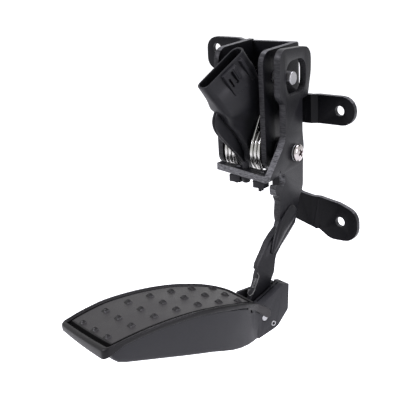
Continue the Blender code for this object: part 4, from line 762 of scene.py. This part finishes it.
# %% The tread
TREAD_FRONT, TREAD_CORNER, TREAD_BOW, TREAD_HALF = -0.1388, 0.0042, 0.0006, 0.0312
CROWN, CROWN_AT, FRONT_CURVE, REAR_CURVE = 0.0270, 0.0780, 0.266, 0.172
LIP_FROM, SIDE_TALL, LIP_TALL, SKEW, RIM_AHEAD = -0.1250, 0.0030, 0.0056, 0.050, 1.6
RIM, GROOVE = 0.0026, 0.0019
TREAD_SIDE = np.array([(-0.1250, 0.0312), (-0.1125, 0.0312), (-0.1000, 0.0312), (-0.0850, 0.0311), (-0.0700, 0.0307),
                       (-0.0550, 0.0298), (-0.0430, 0.0281), (-0.0320, 0.0255), (-0.0230, 0.0225),
                       (-0.0170, 0.0200), (-0.0125, 0.0176), (-0.0098, 0.0150), (-0.0091, 0.0110), (-0.0090, 0.0)])


def tread_height(along):
    """A crown whose height falls with the square of the distance from it, faster towards the rear."""
    away = np.asarray(along) + CROWN_AT
    return CROWN - away ** 2 / (2 * np.where(away < 0, FRONT_CURVE, REAR_CURVE))


FAR_LIFT = ((-0.1360, -0.1290, -0.1215, -0.1136, -0.1058, -0.0980, -0.0860, -0.0710, -0.0580, -0.0520, -0.0400,
             -0.0340, -0.0280, -0.0200, -0.0140, -0.0090),
            (-0.0014, -0.0010, -0.0004, 0.0001, 0.0005, 0.0004, 0.0, -0.0004, -0.0004, -0.0002, 0.0002,
             0.0006, 0.0011, 0.0014, 0.0013, 0.0010))


def far_lift(side, along):
    """How much the worn tread stands higher on its far side, straight across from none on the near side."""
    return np.interp(along, *FAR_LIFT) * np.clip(0.5 - np.asarray(side) / 0.056, 0.0, 1.0)


def skewed(points):
    """Run the front end forward towards the right, more and more from LIP_FROM on."""
    points = np.array(points, float)
    share = np.clip((LIP_FROM - points[..., 1]) / (LIP_FROM - TREAD_FRONT), 0.0, 1.0)
    points[..., 1] -= SKEW * share * points[..., 0]
    return points


def tread_outline(inset):
    """Half the outline moved inwards, as (along, side): bowed front, quarter circle, then the tapering side."""
    front = TREAD_FRONT + inset * RIM_AHEAD
    half = TREAD_HALF - inset
    corner = max(TREAD_CORNER - inset, 0.0006)
    b = np.linspace(0.0, half - corner, 14)
    bow = np.stack([front - TREAD_BOW * (1 - (b / (half - corner)) ** 2), b], -1)
    turn = np.radians(np.linspace(0.0, 90.0, 9))[1:]
    arc = np.stack([front + corner * (1 - np.cos(turn)), half - corner * (1 - np.sin(turn))], -1)
    ahead = np.gradient(TREAD_SIDE, axis=0)
    ahead[-1] = (0.0, -1.0)
    ahead /= np.linalg.norm(ahead, axis=1, keepdims=True)
    side = TREAD_SIDE + inset * np.stack([ahead[:, 1], -ahead[:, 0]], -1)
    side = np.vstack([arc[-1:], side])
    fine = np.linspace(0, len(side) - 1, 6 * (len(side) - 1) + 1)[1:]
    side = np.stack([np.interp(fine, np.arange(len(side)), side[:, k]) for k in (0, 1)], -1)
    line = np.vstack([bow, arc, side])
    line[:, 1] = np.maximum(line[:, 1], 0.0)
    return line


def tread_profile():
    """Inset and rise of the edge from the underside round the rolled rim and through the groove."""
    low = [(0.0024, -1.0, 0.0), (0.0010, -1.0, 0.0), (0.0002, -1.0, 0.0007), (0.0, -0.5, 0.0002)]
    turn = np.radians(np.linspace(180.0, 20.0, 10))
    roll = np.stack([0.0013 + 0.0013 * np.cos(turn), np.zeros(10), -0.0004 + 0.0014 * np.sin(turn)], -1)
    groove = [(RIM + 0.0002, 0.0, -0.0010), (RIM + 0.0004, 0.0, -0.0019), (RIM + 0.0008, 0.0, -0.0022),
              (RIM + GROOVE - 0.0006, 0.0, -0.0022), (RIM + GROOVE - 0.0002, 0.0, -0.0018),
              (RIM + GROOVE, 0.0, -0.0004), (RIM + GROOVE + 0.0003, 0.0, -0.0001), (RIM + GROOVE + 0.0009, 0.0, 0.0)]
    return np.vstack([low, roll, groove])


def tread_ring(inset, lower, rise):
    """The whole outline at one place of the profile: its height is the crown, the far side's lift and the lip."""
    half = tread_outline(inset)
    deep = np.clip((LIP_FROM - half[:, 0]) / (LIP_FROM - TREAD_FRONT), 0.0, 1.0)
    z = tread_height(half[:, 0]) + lower * (SIDE_TALL + (LIP_TALL - SIDE_TALL) * deep) + rise
    right = np.stack([half[:, 1], half[:, 0], z], -1)
    ring = np.vstack([right, right[-2:0:-1] * (-1.0, 1.0, 1.0)])
    ring[:, 2] += far_lift(ring[:, 0], ring[:, 1])
    ring[:, 2] += lower * 0.0012 * np.concatenate([deep, deep[-2:0:-1]]) * ring[:, 0] / TREAD_HALF
    return ring


def tread_shape():
    """The edge's rings round the outline, then straight lines across for the field and the underside."""
    profile = tread_profile()
    rings = [tread_ring(*place) for place in profile]
    rings = np.array(rings)
    rows, columns = rings.shape[:2]
    # Just above the groove's floor and walls lies a second, near-black sheet: painted shade for the deep groove.
    inside = profile[-8:-1] + np.array([[0.00006, 0.0, 0.00005]] * 4 + [[-0.00006, 0.0, 0.00005]] * 3)
    groove_shade_sheet = np.array([tread_ring(*place) for place in inside])
    count = columns // 2 + 1
    edge = (rings.reshape(-1, 3), quads(rows, columns).tolist())
    fields = []
    for ring in (rings[0], rings[-1]):
        right = ring[:count]
        left = np.vstack([ring[:1], ring[:count - 2:-1]])
        share = np.linspace(0.0, 1.0, 13)[None, :, None]
        grid = right[:, None] * (1 - share) + left[:, None] * share
        i, j = np.meshgrid(np.arange(count - 1), np.arange(12), indexing="ij")
        corner = (i * 13 + j).ravel()
        fields.append((grid.reshape(-1, 3), np.stack([corner, corner + 1, corner + 14, corner + 13], -1).tolist()))
    points, faces = joined(edge, *fields)
    # The field again, just above the tread, so that it takes the lighter rubber; the darker rim is painted shade.
    over = skewed(fields[1][0] + (0.0, 0.0, 0.00006))
    return skewed(points), faces, (over, fields[1][1]), (skewed(groove_shade_sheet).reshape(-1, 3), quads(7, columns).tolist())


def stud_places():
    """Rows at a slowly shrinking pitch, three studs in each, closer together where the tread narrows."""
    k = np.arange(7)
    along = TREAD_FRONT + 0.0104 + k * 0.0180 * (1 - 0.006 * k)
    line = tread_outline(RIM + GROOVE)
    room = np.array([line[np.abs(line[:, 0] - a) < 0.008, 1].max() for a in along])
    spread = np.minimum(0.0160, room - 0.0059)
    side = spread[:, None] * np.array([-1.0, 0.0, 1.0])
    return np.stack([side.ravel(), np.repeat(along, 3)], -1)


def stud_shape(places, size=0.0050, tall=0.0025, steps=9):
    """A pyramid with four flat facets: its height falls with the larger of the two distances to a blunt top."""
    u = np.linspace(-1.0, 1.0, steps)
    a, b = np.meshgrid(u, u, indexing="ij")
    reach = np.maximum(np.abs(a), np.abs(b))
    height = tall * np.minimum((1.0 - reach) * 1.18, 1.0) - 0.0008 * (reach > 0.99)
    x = places[:, 0, None, None] + a * size / 2
    y = places[:, 1, None, None] + b * size / 2
    z = tread_height(y) + far_lift(x, y) + height
    top = np.stack([x, y, z], -1).reshape(len(places), -1, 3)
    base = steps * steps
    i, j = np.meshgrid(np.arange(steps - 1), np.arange(steps - 1), indexing="ij")
    corner = (i * steps + j).ravel()
    face = np.stack([corner, corner + 1, corner + steps + 1, corner + steps], -1)
    faces = (face[None] + (np.arange(len(places)) * base)[:, None, None]).reshape(-1, 4)
    rim = np.concatenate([np.arange(steps), np.arange(2, steps) * steps - 1, base - 1 - np.arange(steps),
                          (steps - 1 - np.arange(1, steps - 1)) * steps])
    foot = (rim[None] + (np.arange(len(places)) * base)[:, None])
    return skewed(top.reshape(-1, 3)), faces.tolist() + foot.tolist()


tread_points, tread_faces, field, groove_shade_sheet = tread_shape()
stud_points, stud_faces = stud_shape(stud_places())
# The rim's darker rubber is painted shade.
piece("tread", (from_hinge(tread_points), tread_faces), PAD, "tread_rubber", rim_rubber_painted_shade, ("pad_tread",), angle=40.0)
piece("tread_field", (from_hinge(field[0]), field[1]), PAD, "tread_rubber", warm_rubber)
# The near-black sheet in the groove is painted shade.
piece("groove", (from_hinge(groove_shade_sheet[0]), groove_shade_sheet[1]), PAD, "tread_rubber", groove_shade)
# The studs' darker rubber is painted shade.
piece("tread_studs", (from_hinge(stud_points), stud_faces), PAD, "tread_rubber", stud_rubber_painted_shade, angle=20.0)

# %% [markdown]
# At its rear the tread reaches down each side of the block as a flap, which hooks over the hinge pin. A flap
# is a flat slab: the rounded edge is a quarter circle at each face, carried round the flap's outline.

# %% Flat slabs and the tread's flaps
def slab(line, low, high, edge):
    """Points (first axis, outline) of a slab with rounded edges between two planes; the line turns one way."""
    line = np.asarray(line, float)
    ahead = np.roll(line, -1, 0) - np.roll(line, 1, 0)
    ahead /= np.linalg.norm(ahead, axis=1, keepdims=True)
    inward = np.stack([-ahead[:, 1], ahead[:, 0]], -1)
    inward *= np.sign(((line.mean(0) - line) * inward).sum())
    turn = np.radians(np.linspace(0.0, 90.0, 4))
    inset = np.concatenate([[2.5 * edge], edge * (1 - np.sin(turn)), edge * (1 - np.cos(turn)), [2.5 * edge]])
    along = np.concatenate([[low], low + edge * (1 - np.cos(turn)), high - edge + edge * np.sin(turn), [high]])
    ring = line[None] + inset[:, None, None] * inward[None]
    place = np.broadcast_to(along[:, None, None], (len(along), len(line), 1))
    return skinned(np.concatenate([place, ring], -1))


FLAP = eased([(-0.0200, 0.0165), (-0.0130, 0.0150), (-0.0061, 0.0122), (0.0008, 0.0078), (0.0045, 0.0044),
              (0.0046, 0.0008), (0.0019, -0.0006), (-0.0028, 0.0030), (-0.0114, 0.0099), (-0.0200, 0.0130)],
             0.0014, 4, closed=True)
RECESS = [(-0.0140, 0.0090), (-0.0062, 0.0060), (0.0012, 0.0030), (0.0052, 0.0022), (0.0058, 0.0062),
          (-0.0040, 0.0098), (-0.0140, 0.0122)]


def beside_block(shape):
    """Follow the near face of the block: further out towards the pad, then widened as the block is."""
    points = shape[0].copy()
    ahead = np.interp(points[:, 1], (-0.0200, -0.0160, -0.0125, -0.0085, -0.0067), (0.0060, 0.0042, 0.0024, 0.0005, 0.0))
    points[:, 0] += ahead * (points[:, 0] > 0.0)
    return from_hinge(widened(points)), shape[1]


flaps = joined(slab(FLAP, 0.0098, 0.0119, 0.0004), slab(FLAP, -0.0098, -0.0086, 0.0004))
flap_points, flap_faces = beside_block(flaps)
piece("recess_fill", beside_block(slab(RECESS, 0.0100, 0.0110, 0.0002)), PAD, "black_plastic", pad_plastic)
piece("tread_flaps", (flap_points, flap_faces), PAD, "tread_rubber", warm_rubber)

# %% [markdown]
# The sensor's body is one moulding. It starts as a thin disc round the shaft, grows and turns as it rises,
# and ends in the connector's long mouth. Rounded rectangles, given by a centre, a size and two angles, are
# blended smoothly from the disc to the mouth, then carried back down inside it, so the socket has a wall.

# %% The sensor's body
MOUTH = np.array([-0.0395, -0.0340, 0.0643])
MOUTH_OUT = np.array([-0.191, -0.525, 0.829]) / np.linalg.norm([-0.191, -0.525, 0.829])
HUB_R, HUB_HALF, HUB_X = 0.0156, 0.0032, -0.0312
SOCKET_WALL, SOCKET_DEEP = 0.0013, 0.0210


def turned_ways(yaw, tilt_up):
    """The long and the wide direction of a section, from its yaw and its tilt in degrees."""
    yaw, tilt_up = np.radians(yaw), np.radians(tilt_up)
    long_way = np.stack([np.sin(yaw) * np.cos(tilt_up), np.cos(yaw) * np.cos(tilt_up), np.sin(tilt_up)], -1)
    wide_way = np.stack([np.cos(yaw), -np.sin(yaw), np.zeros_like(yaw)], -1)
    return long_way, wide_way


def rounded_sections(rows, steps=9):
    """Rings of rounded rectangles from rows of (centre, half length, half width, yaw, tilt, corner)."""
    rows = np.asarray(rows, float)
    phi = np.radians(np.concatenate([np.linspace(90 * q, 90 * q + 90, steps) for q in range(4)]))
    sign_a = np.repeat([1.0, -1.0, -1.0, 1.0], steps)
    sign_b = np.repeat([1.0, 1.0, -1.0, -1.0], steps)
    length, width, corner = rows[:, 3:4], rows[:, 4:5], np.minimum(rows[:, 7:8], rows[:, 4:5])
    corner = np.minimum(corner, length)
    a = sign_a * (length - corner) + corner * np.cos(phi)
    b = sign_b * (width - corner) + corner * np.sin(phi)
    long_way, wide_way = turned_ways(rows[:, 5], rows[:, 6])
    return rows[:, None, :3] + a[..., None] * long_way[:, None] + b[..., None] * wide_way[:, None]


def spline(rows, steps):
    """A smooth curve through rows of numbers, each stretch a cubic set by its two neighbours."""
    rows = np.asarray(rows, float)
    padded = np.vstack([2 * rows[:1] - rows[1:2], rows, 2 * rows[-1:] - rows[-2:-1]])
    p0, p1, p2, p3 = padded[:-3], padded[1:-2], padded[2:-1], padded[3:]
    t = np.linspace(0.0, 1.0, steps, endpoint=False)[:, None, None]
    curve = 0.5 * (2 * p1 + (p2 - p0) * t + (2 * p0 - 5 * p1 + 4 * p2 - p3) * t ** 2
                   + (3 * p1 - p0 - 3 * p2 + p3) * t ** 3)
    return np.vstack([curve.transpose(1, 0, 2).reshape(-1, rows.shape[1]), rows[-1:]])


def mouth_row(back, half_long, half_wide, corner, aside=0.0006):
    """A section of the connector at a distance back from its mouth, moved aside towards its near face."""
    centre = MOUTH - MOUTH_OUT * back + turned_ways(np.array(20.0), np.array(34.0))[1] * aside
    return [*centre, half_long, half_wide, 20.0, 34.0, corner]


def sensor_body():
    """Disc, blended neck, connector, rolled lip and socket as one closed stack of rings."""
    disc_turn = np.radians([84.0, 74.0, 62.0, 50.0, 38.0, 26.0, 14.0])
    disc = [[HUB_X, 0.0, -HUB_R * math.sin(t), HUB_R * math.cos(t), HUB_HALF, 0.0, 0.0, 0.0012] for t in disc_turn]
    neck = spline([[HUB_X, 0.0, 0.0, HUB_R, HUB_HALF, 0.0, 0.0, 0.0014],
                   [HUB_X, -0.0030, 0.0080, HUB_R + 0.0009, HUB_HALF, 6.0, 0.0, 0.0020],
                   [-0.0318, -0.0070, 0.0160, 0.0178, 0.0036, 10.0, 0.0, 0.0026],
                   [-0.0326, -0.0125, 0.0240, 0.0186, 0.0046, 13.0, 4.0, 0.0034],
                   [-0.0318, -0.0190, 0.0335, 0.0180, 0.0066, 14.0, 12.0, 0.0046],
                   [-0.0352, -0.0220, 0.0430, 0.0198, 0.0092, 18.0, 27.0, 0.0052],
                   mouth_row(0.0150, 0.0208, 0.0078, 0.0050), mouth_row(0.0100, 0.0210, 0.0066, 0.0050),
                   mouth_row(0.0040, 0.0212, 0.0062, 0.0050), mouth_row(0.0006, 0.0213, 0.0062, 0.0050)], 6)
    lip = [mouth_row(0.0002, 0.02125, 0.00615, 0.0050), mouth_row(0.0, 0.0209, 0.0058, 0.0047),
           mouth_row(0.0, 0.0205, 0.0054, 0.0043), mouth_row(0.0003, 0.0200, 0.0049, 0.0040)]
    socket = [mouth_row(b, 0.0200, 0.0049, 0.0040) for b in (0.0030, 0.0100, 0.0180, SOCKET_DEEP)]
    return skinned(rounded_sections(np.vstack([disc, neck, lip, socket])))


RIM_YAW = math.radians(13.0)
RIM_OUTLINE = np.array([(-0.0360, 0.0345, 2), (-0.0394, 0.0272, 4), (-0.0382, 0.0200, 4), (-0.0326, 0.0128, 6),
                        (-0.0258, 0.0060, 10), (-0.0184, -0.0018, 10), (-0.0118, -0.0110, 6), (-0.0060, -0.0166, 5),
                        (0.0060, -0.0166, 6), (0.0150, -0.0090, 8), (0.0168, 0.0040, 10), (0.0120, 0.0200, 12),
                        (0.0010, 0.0320, 10), (-0.0100, 0.0345, 6)])


def rim_plate(start, thick, edge=0.0005):
    """A plate with rounded edges carried along the sensor's outline, its X growing with Y by the rim's yaw."""
    line = eased(RIM_OUTLINE[:, :2], RIM_OUTLINE[:, 2] / 1000.0, 6, closed=True)
    ahead = np.roll(line, -1, 0) - np.roll(line, 1, 0)
    ahead /= np.linalg.norm(ahead, axis=1, keepdims=True)
    inward = np.stack([-ahead[:, 1], ahead[:, 0]], -1)
    inward *= np.sign(((line.mean(0) - line) * inward).sum())
    turn = np.radians(np.linspace(0.0, 90.0, 4))
    inset = np.concatenate([edge * (1 - np.sin(turn)), edge * (1 - np.cos(turn))])
    along = np.concatenate([edge * (1 - np.cos(turn)), thick - edge + edge * np.sin(turn)])
    inset = np.concatenate([[0.0040], inset, [0.0040]])
    along = np.concatenate([[0.0], along, [thick]])
    ring = line[None] + inset[:, None, None] * inward[None]
    x = -0.0397 + (ring[..., 0] + 0.0180) * math.tan(RIM_YAW) + start + along[:, None]
    return skinned(np.concatenate([x[..., None], ring], -1))


def latch_relief():
    """The latch on the connector's near face: a raised field between two channels, with slots, as a height field."""
    long_way, wide_way = turned_ways(np.array(20.0), np.array(34.0))
    face = np.cross(long_way, MOUTH_OUT)
    face *= np.sign(face @ wide_way)
    s = np.linspace(-0.0105, 0.0150, 104)
    t = np.linspace(0.0016, 0.0250, 96)
    s, t = np.meshgrid(s, t, indexing="ij")
    slant = t - 0.10 * s

    def bar(middle, half, start, stop, soft=0.0005):
        return (smooth_step((half - np.abs(s - middle)) / soft) * smooth_step((slant - start) / 0.0008)
                * smooth_step((stop - slant) / 0.0012))

    height = 0.0030 * bar(0.0005, 0.0070, 0.0012, 0.0215, 0.0006) + 0.0028 * bar(0.0128, 0.0018, 0.0010, 0.0205, 0.0007)
    height -= 0.0034 * (bar(0.0012, 0.0011, 0.0034, 0.0135, 0.0004) + bar(-0.0032, 0.0009, 0.0066, 0.0142, 0.0004))
    height += 0.0009 * bar(0.0040, 0.0013, 0.0018, 0.0125, 0.0007)
    edge = (np.minimum(s - s.min(), s.max() - s) < 1e-6) | (np.minimum(t - t.min(), t.max() - t) < 1e-6)
    level = np.where(edge, -0.0030, height - 0.0004)
    points = (MOUTH + wide_way * 0.0006 + s[..., None] * long_way - t[..., None] * MOUTH_OUT
              + (0.0066 + level)[..., None] * face)
    rows, columns = s.shape
    i, j = np.meshgrid(np.arange(rows - 1), np.arange(columns - 1), indexing="ij")
    corner = (i * columns + j).ravel()
    faces = np.stack([corner, corner + 1, corner + columns + 1, corner + columns], -1).tolist()
    rim = np.concatenate([np.arange(columns), np.arange(2, rows) * columns - 1,
                          rows * columns - 1 - np.arange(columns), np.arange(rows - 2, 0, -1) * columns])
    return points.reshape(-1, 3), faces + [rim.tolist()]


body_points, body_faces = joined(sensor_body(), rim_plate(0.0021, 0.0018), latch_relief())
piece("sensor_body", (from_pivot(body_points), body_faces), BRACKET, "black_plastic", moulded_black,
      ("sensor_housing",), angle=32.0)
cover_points, cover_faces = rim_plate(0.0, 0.0018)
piece("sensor_lid", (from_pivot(cover_points), cover_faces), BRACKET, "black_plastic", moulded_black,
      ("sensor_cover",), angle=32.0)

# %% [markdown]
# Six flat pins stand on the socket's floor on a common strip. Each is a small tapered blade, and all six come
# from one blade's rings shifted along the connector. They sit deep, so they only glint when seen from above.

# %% The contacts
def blade(at):
    """Rounded sections of a blade that narrows to its tip, moved along the connector's length."""
    rows = [mouth_row(SOCKET_DEEP - 0.0003 - up_by, wide, thick, thick * 0.8) for up_by, wide, thick in
            ((0.0, 0.0010, 0.00045), (0.0060, 0.0010, 0.00045), (0.0068, 0.0007, 0.0003), (0.0070, 0.0004, 0.0002))]
    shift = turned_ways(np.array(20.0), np.array(34.0))[0] * at
    return skinned(rounded_sections(rows, 4) + shift)


strip = skinned(rounded_sections([mouth_row(SOCKET_DEEP - 0.0002, 0.0156, 0.0006, 0.0003),
                                  mouth_row(SOCKET_DEEP - 0.0012, 0.0156, 0.0006, 0.0003)], 4))
contact_points, contact_faces = joined(strip, *(blade(0.0052 * (k - 2.5)) for k in range(6)))
piece("contacts", (from_pivot(contact_points), contact_faces), BRACKET, "contact_metal", tin_contact,
      ("connector_terminals",))

# %% [markdown]
# Below the flange the plate is pressed into a stiffening rib that twists down towards the foot. It is a long
# blister: an ellipse carried along a line on the plate, whose width and height swell and fade at the ends.

# %% The pressed rib
def blister(line, half_wide, tall, across, away, sides=28):
    """An ellipse of the given widths and heights carried along a line, closed to a point at both ends."""
    turn = np.linspace(0.0, 2 * np.pi, sides, endpoint=False)
    rings = (line[:, None] + half_wide[:, None, None] * np.cos(turn)[None, :, None] * across[:, None]
             + tall[:, None, None] * np.sin(turn)[None, :, None] * away[:, None])
    return skinned(rings)


rib_rows = spline([[0.0003, -0.0030, -0.0405, 0.0045], [0.0004, -0.0075, -0.0428, 0.0058],
                   [0.0006, -0.0150, -0.0470, 0.0062], [0.0010, -0.0235, -0.0520, 0.0056],
                   [0.0020, -0.0320, -0.0585, 0.0042], [0.0030, -0.0385, -0.0640, 0.0024]], 10)
line = rib_rows[:, :3]
share = np.linspace(0.0, 1.0, len(line))
swell = np.clip(np.minimum(share / 0.10, (1.02 - share) / 0.45), 0.0, 1.0)
swell = np.sqrt(np.clip(1 - (1 - swell) ** 2, 0.0004, 1.0))
ahead_line = np.gradient(line, axis=0)
ahead_line /= np.linalg.norm(ahead_line, axis=1, keepdims=True)
outwards = np.array([1.0, 0.0, 0.0]) - ahead_line * ahead_line[:, :1]
outwards /= np.linalg.norm(outwards, axis=1, keepdims=True)
across_line = np.cross(ahead_line, outwards)
rib_points, rib_faces = blister(line, rib_rows[:, 3] * swell, 0.0030 * swell, across_line, outwards)
piece("pressed_rib", (from_pivot(rib_points), rib_faces), ARM, "black_coat", powder_black, angle=60.0)

# %% [markdown]
# The pad hangs on a plain pin, and a slotted roll pin beside it stops its swing. Between the foot and the pad
# a small close coil pulls the pad level. Its turns come from a helix round a sloping line, and both ends of
# its wire run on into hooks.

# %% The pad's pins and spring
SIDE_WAY = tuple(PAD_TURN[0])
pin_low, pin_high = -0.0090, 0.0133
pin = eased([(pin_low, 0.0), (pin_low, 0.0025), (pin_high, 0.0025), (pin_high, 0.0)], 0.0005, 4)
piece("hinge_pin", revolved(pin, from_hinge([0.0, 0.0, 0.0]), SIDE_WAY), PAD, "plain_steel", brushed_steel,
      ("pad_hinge_pin",))
piece("roll_pin", revolved(ring_profile(pin_low, pin_high, 0.0011, 0.0020, 0.0003),
                           from_hinge([0.0, 0.0075, -0.0064]), SIDE_WAY, 40, hollow=True),
      PAD, "plain_steel", brushed_steel, ("pad_roll_pin",))
piece("hinge_bush", revolved(ring_profile(-0.0029, 0.0029, 0.0028, 0.0037, 0.0002), from_hinge([0.0, 0.0, 0.0]),
                             SIDE_WAY, 40, hollow=True), PAD, "black_plastic", moulded_black, ("pad_hinge_bush",))


def pad_spring_path():
    """A helix of nine turns down a sloping line, with a short hook above and a long one below."""
    down = np.array([0.0, -0.430, -0.903])
    down /= np.linalg.norm(down)
    forward = np.array([0.0, -0.903, 0.430])
    k = np.arange(0, 9 * 16 + 1)
    turn = 2 * np.pi * k[:, None] / 16
    coil = (np.array([0.0040, 0.0008, 0.0262]) + down * 0.0008 * k[:, None] / 16 - forward * 0.0012 * np.cos(turn)
            + np.array([1.0, 0.0, 0.0]) * 0.0012 * np.sin(turn))
    above = np.array([(0.0020, 0.0030, 0.0295), (0.0036, 0.0028, 0.0280)])
    below = np.array([coil[-1] + down * 0.0012, (0.0040, -0.0034, 0.0158), (0.0036, -0.0060, 0.0150),
                      (0.0034, -0.0074, 0.0170), (0.0034, -0.0064, 0.0196), (0.0034, -0.0046, 0.0190)])
    return resampled(np.vstack([above, coil, below]), 0.0003)


piece("pad_spring", wire(from_hinge(pad_spring_path()), 0.0004, 10, aside=(0.6, 0.2, 0.7)), PAD, "spring_steel",
      dull_wire, ("pad_return_spring",), angle=60.0)
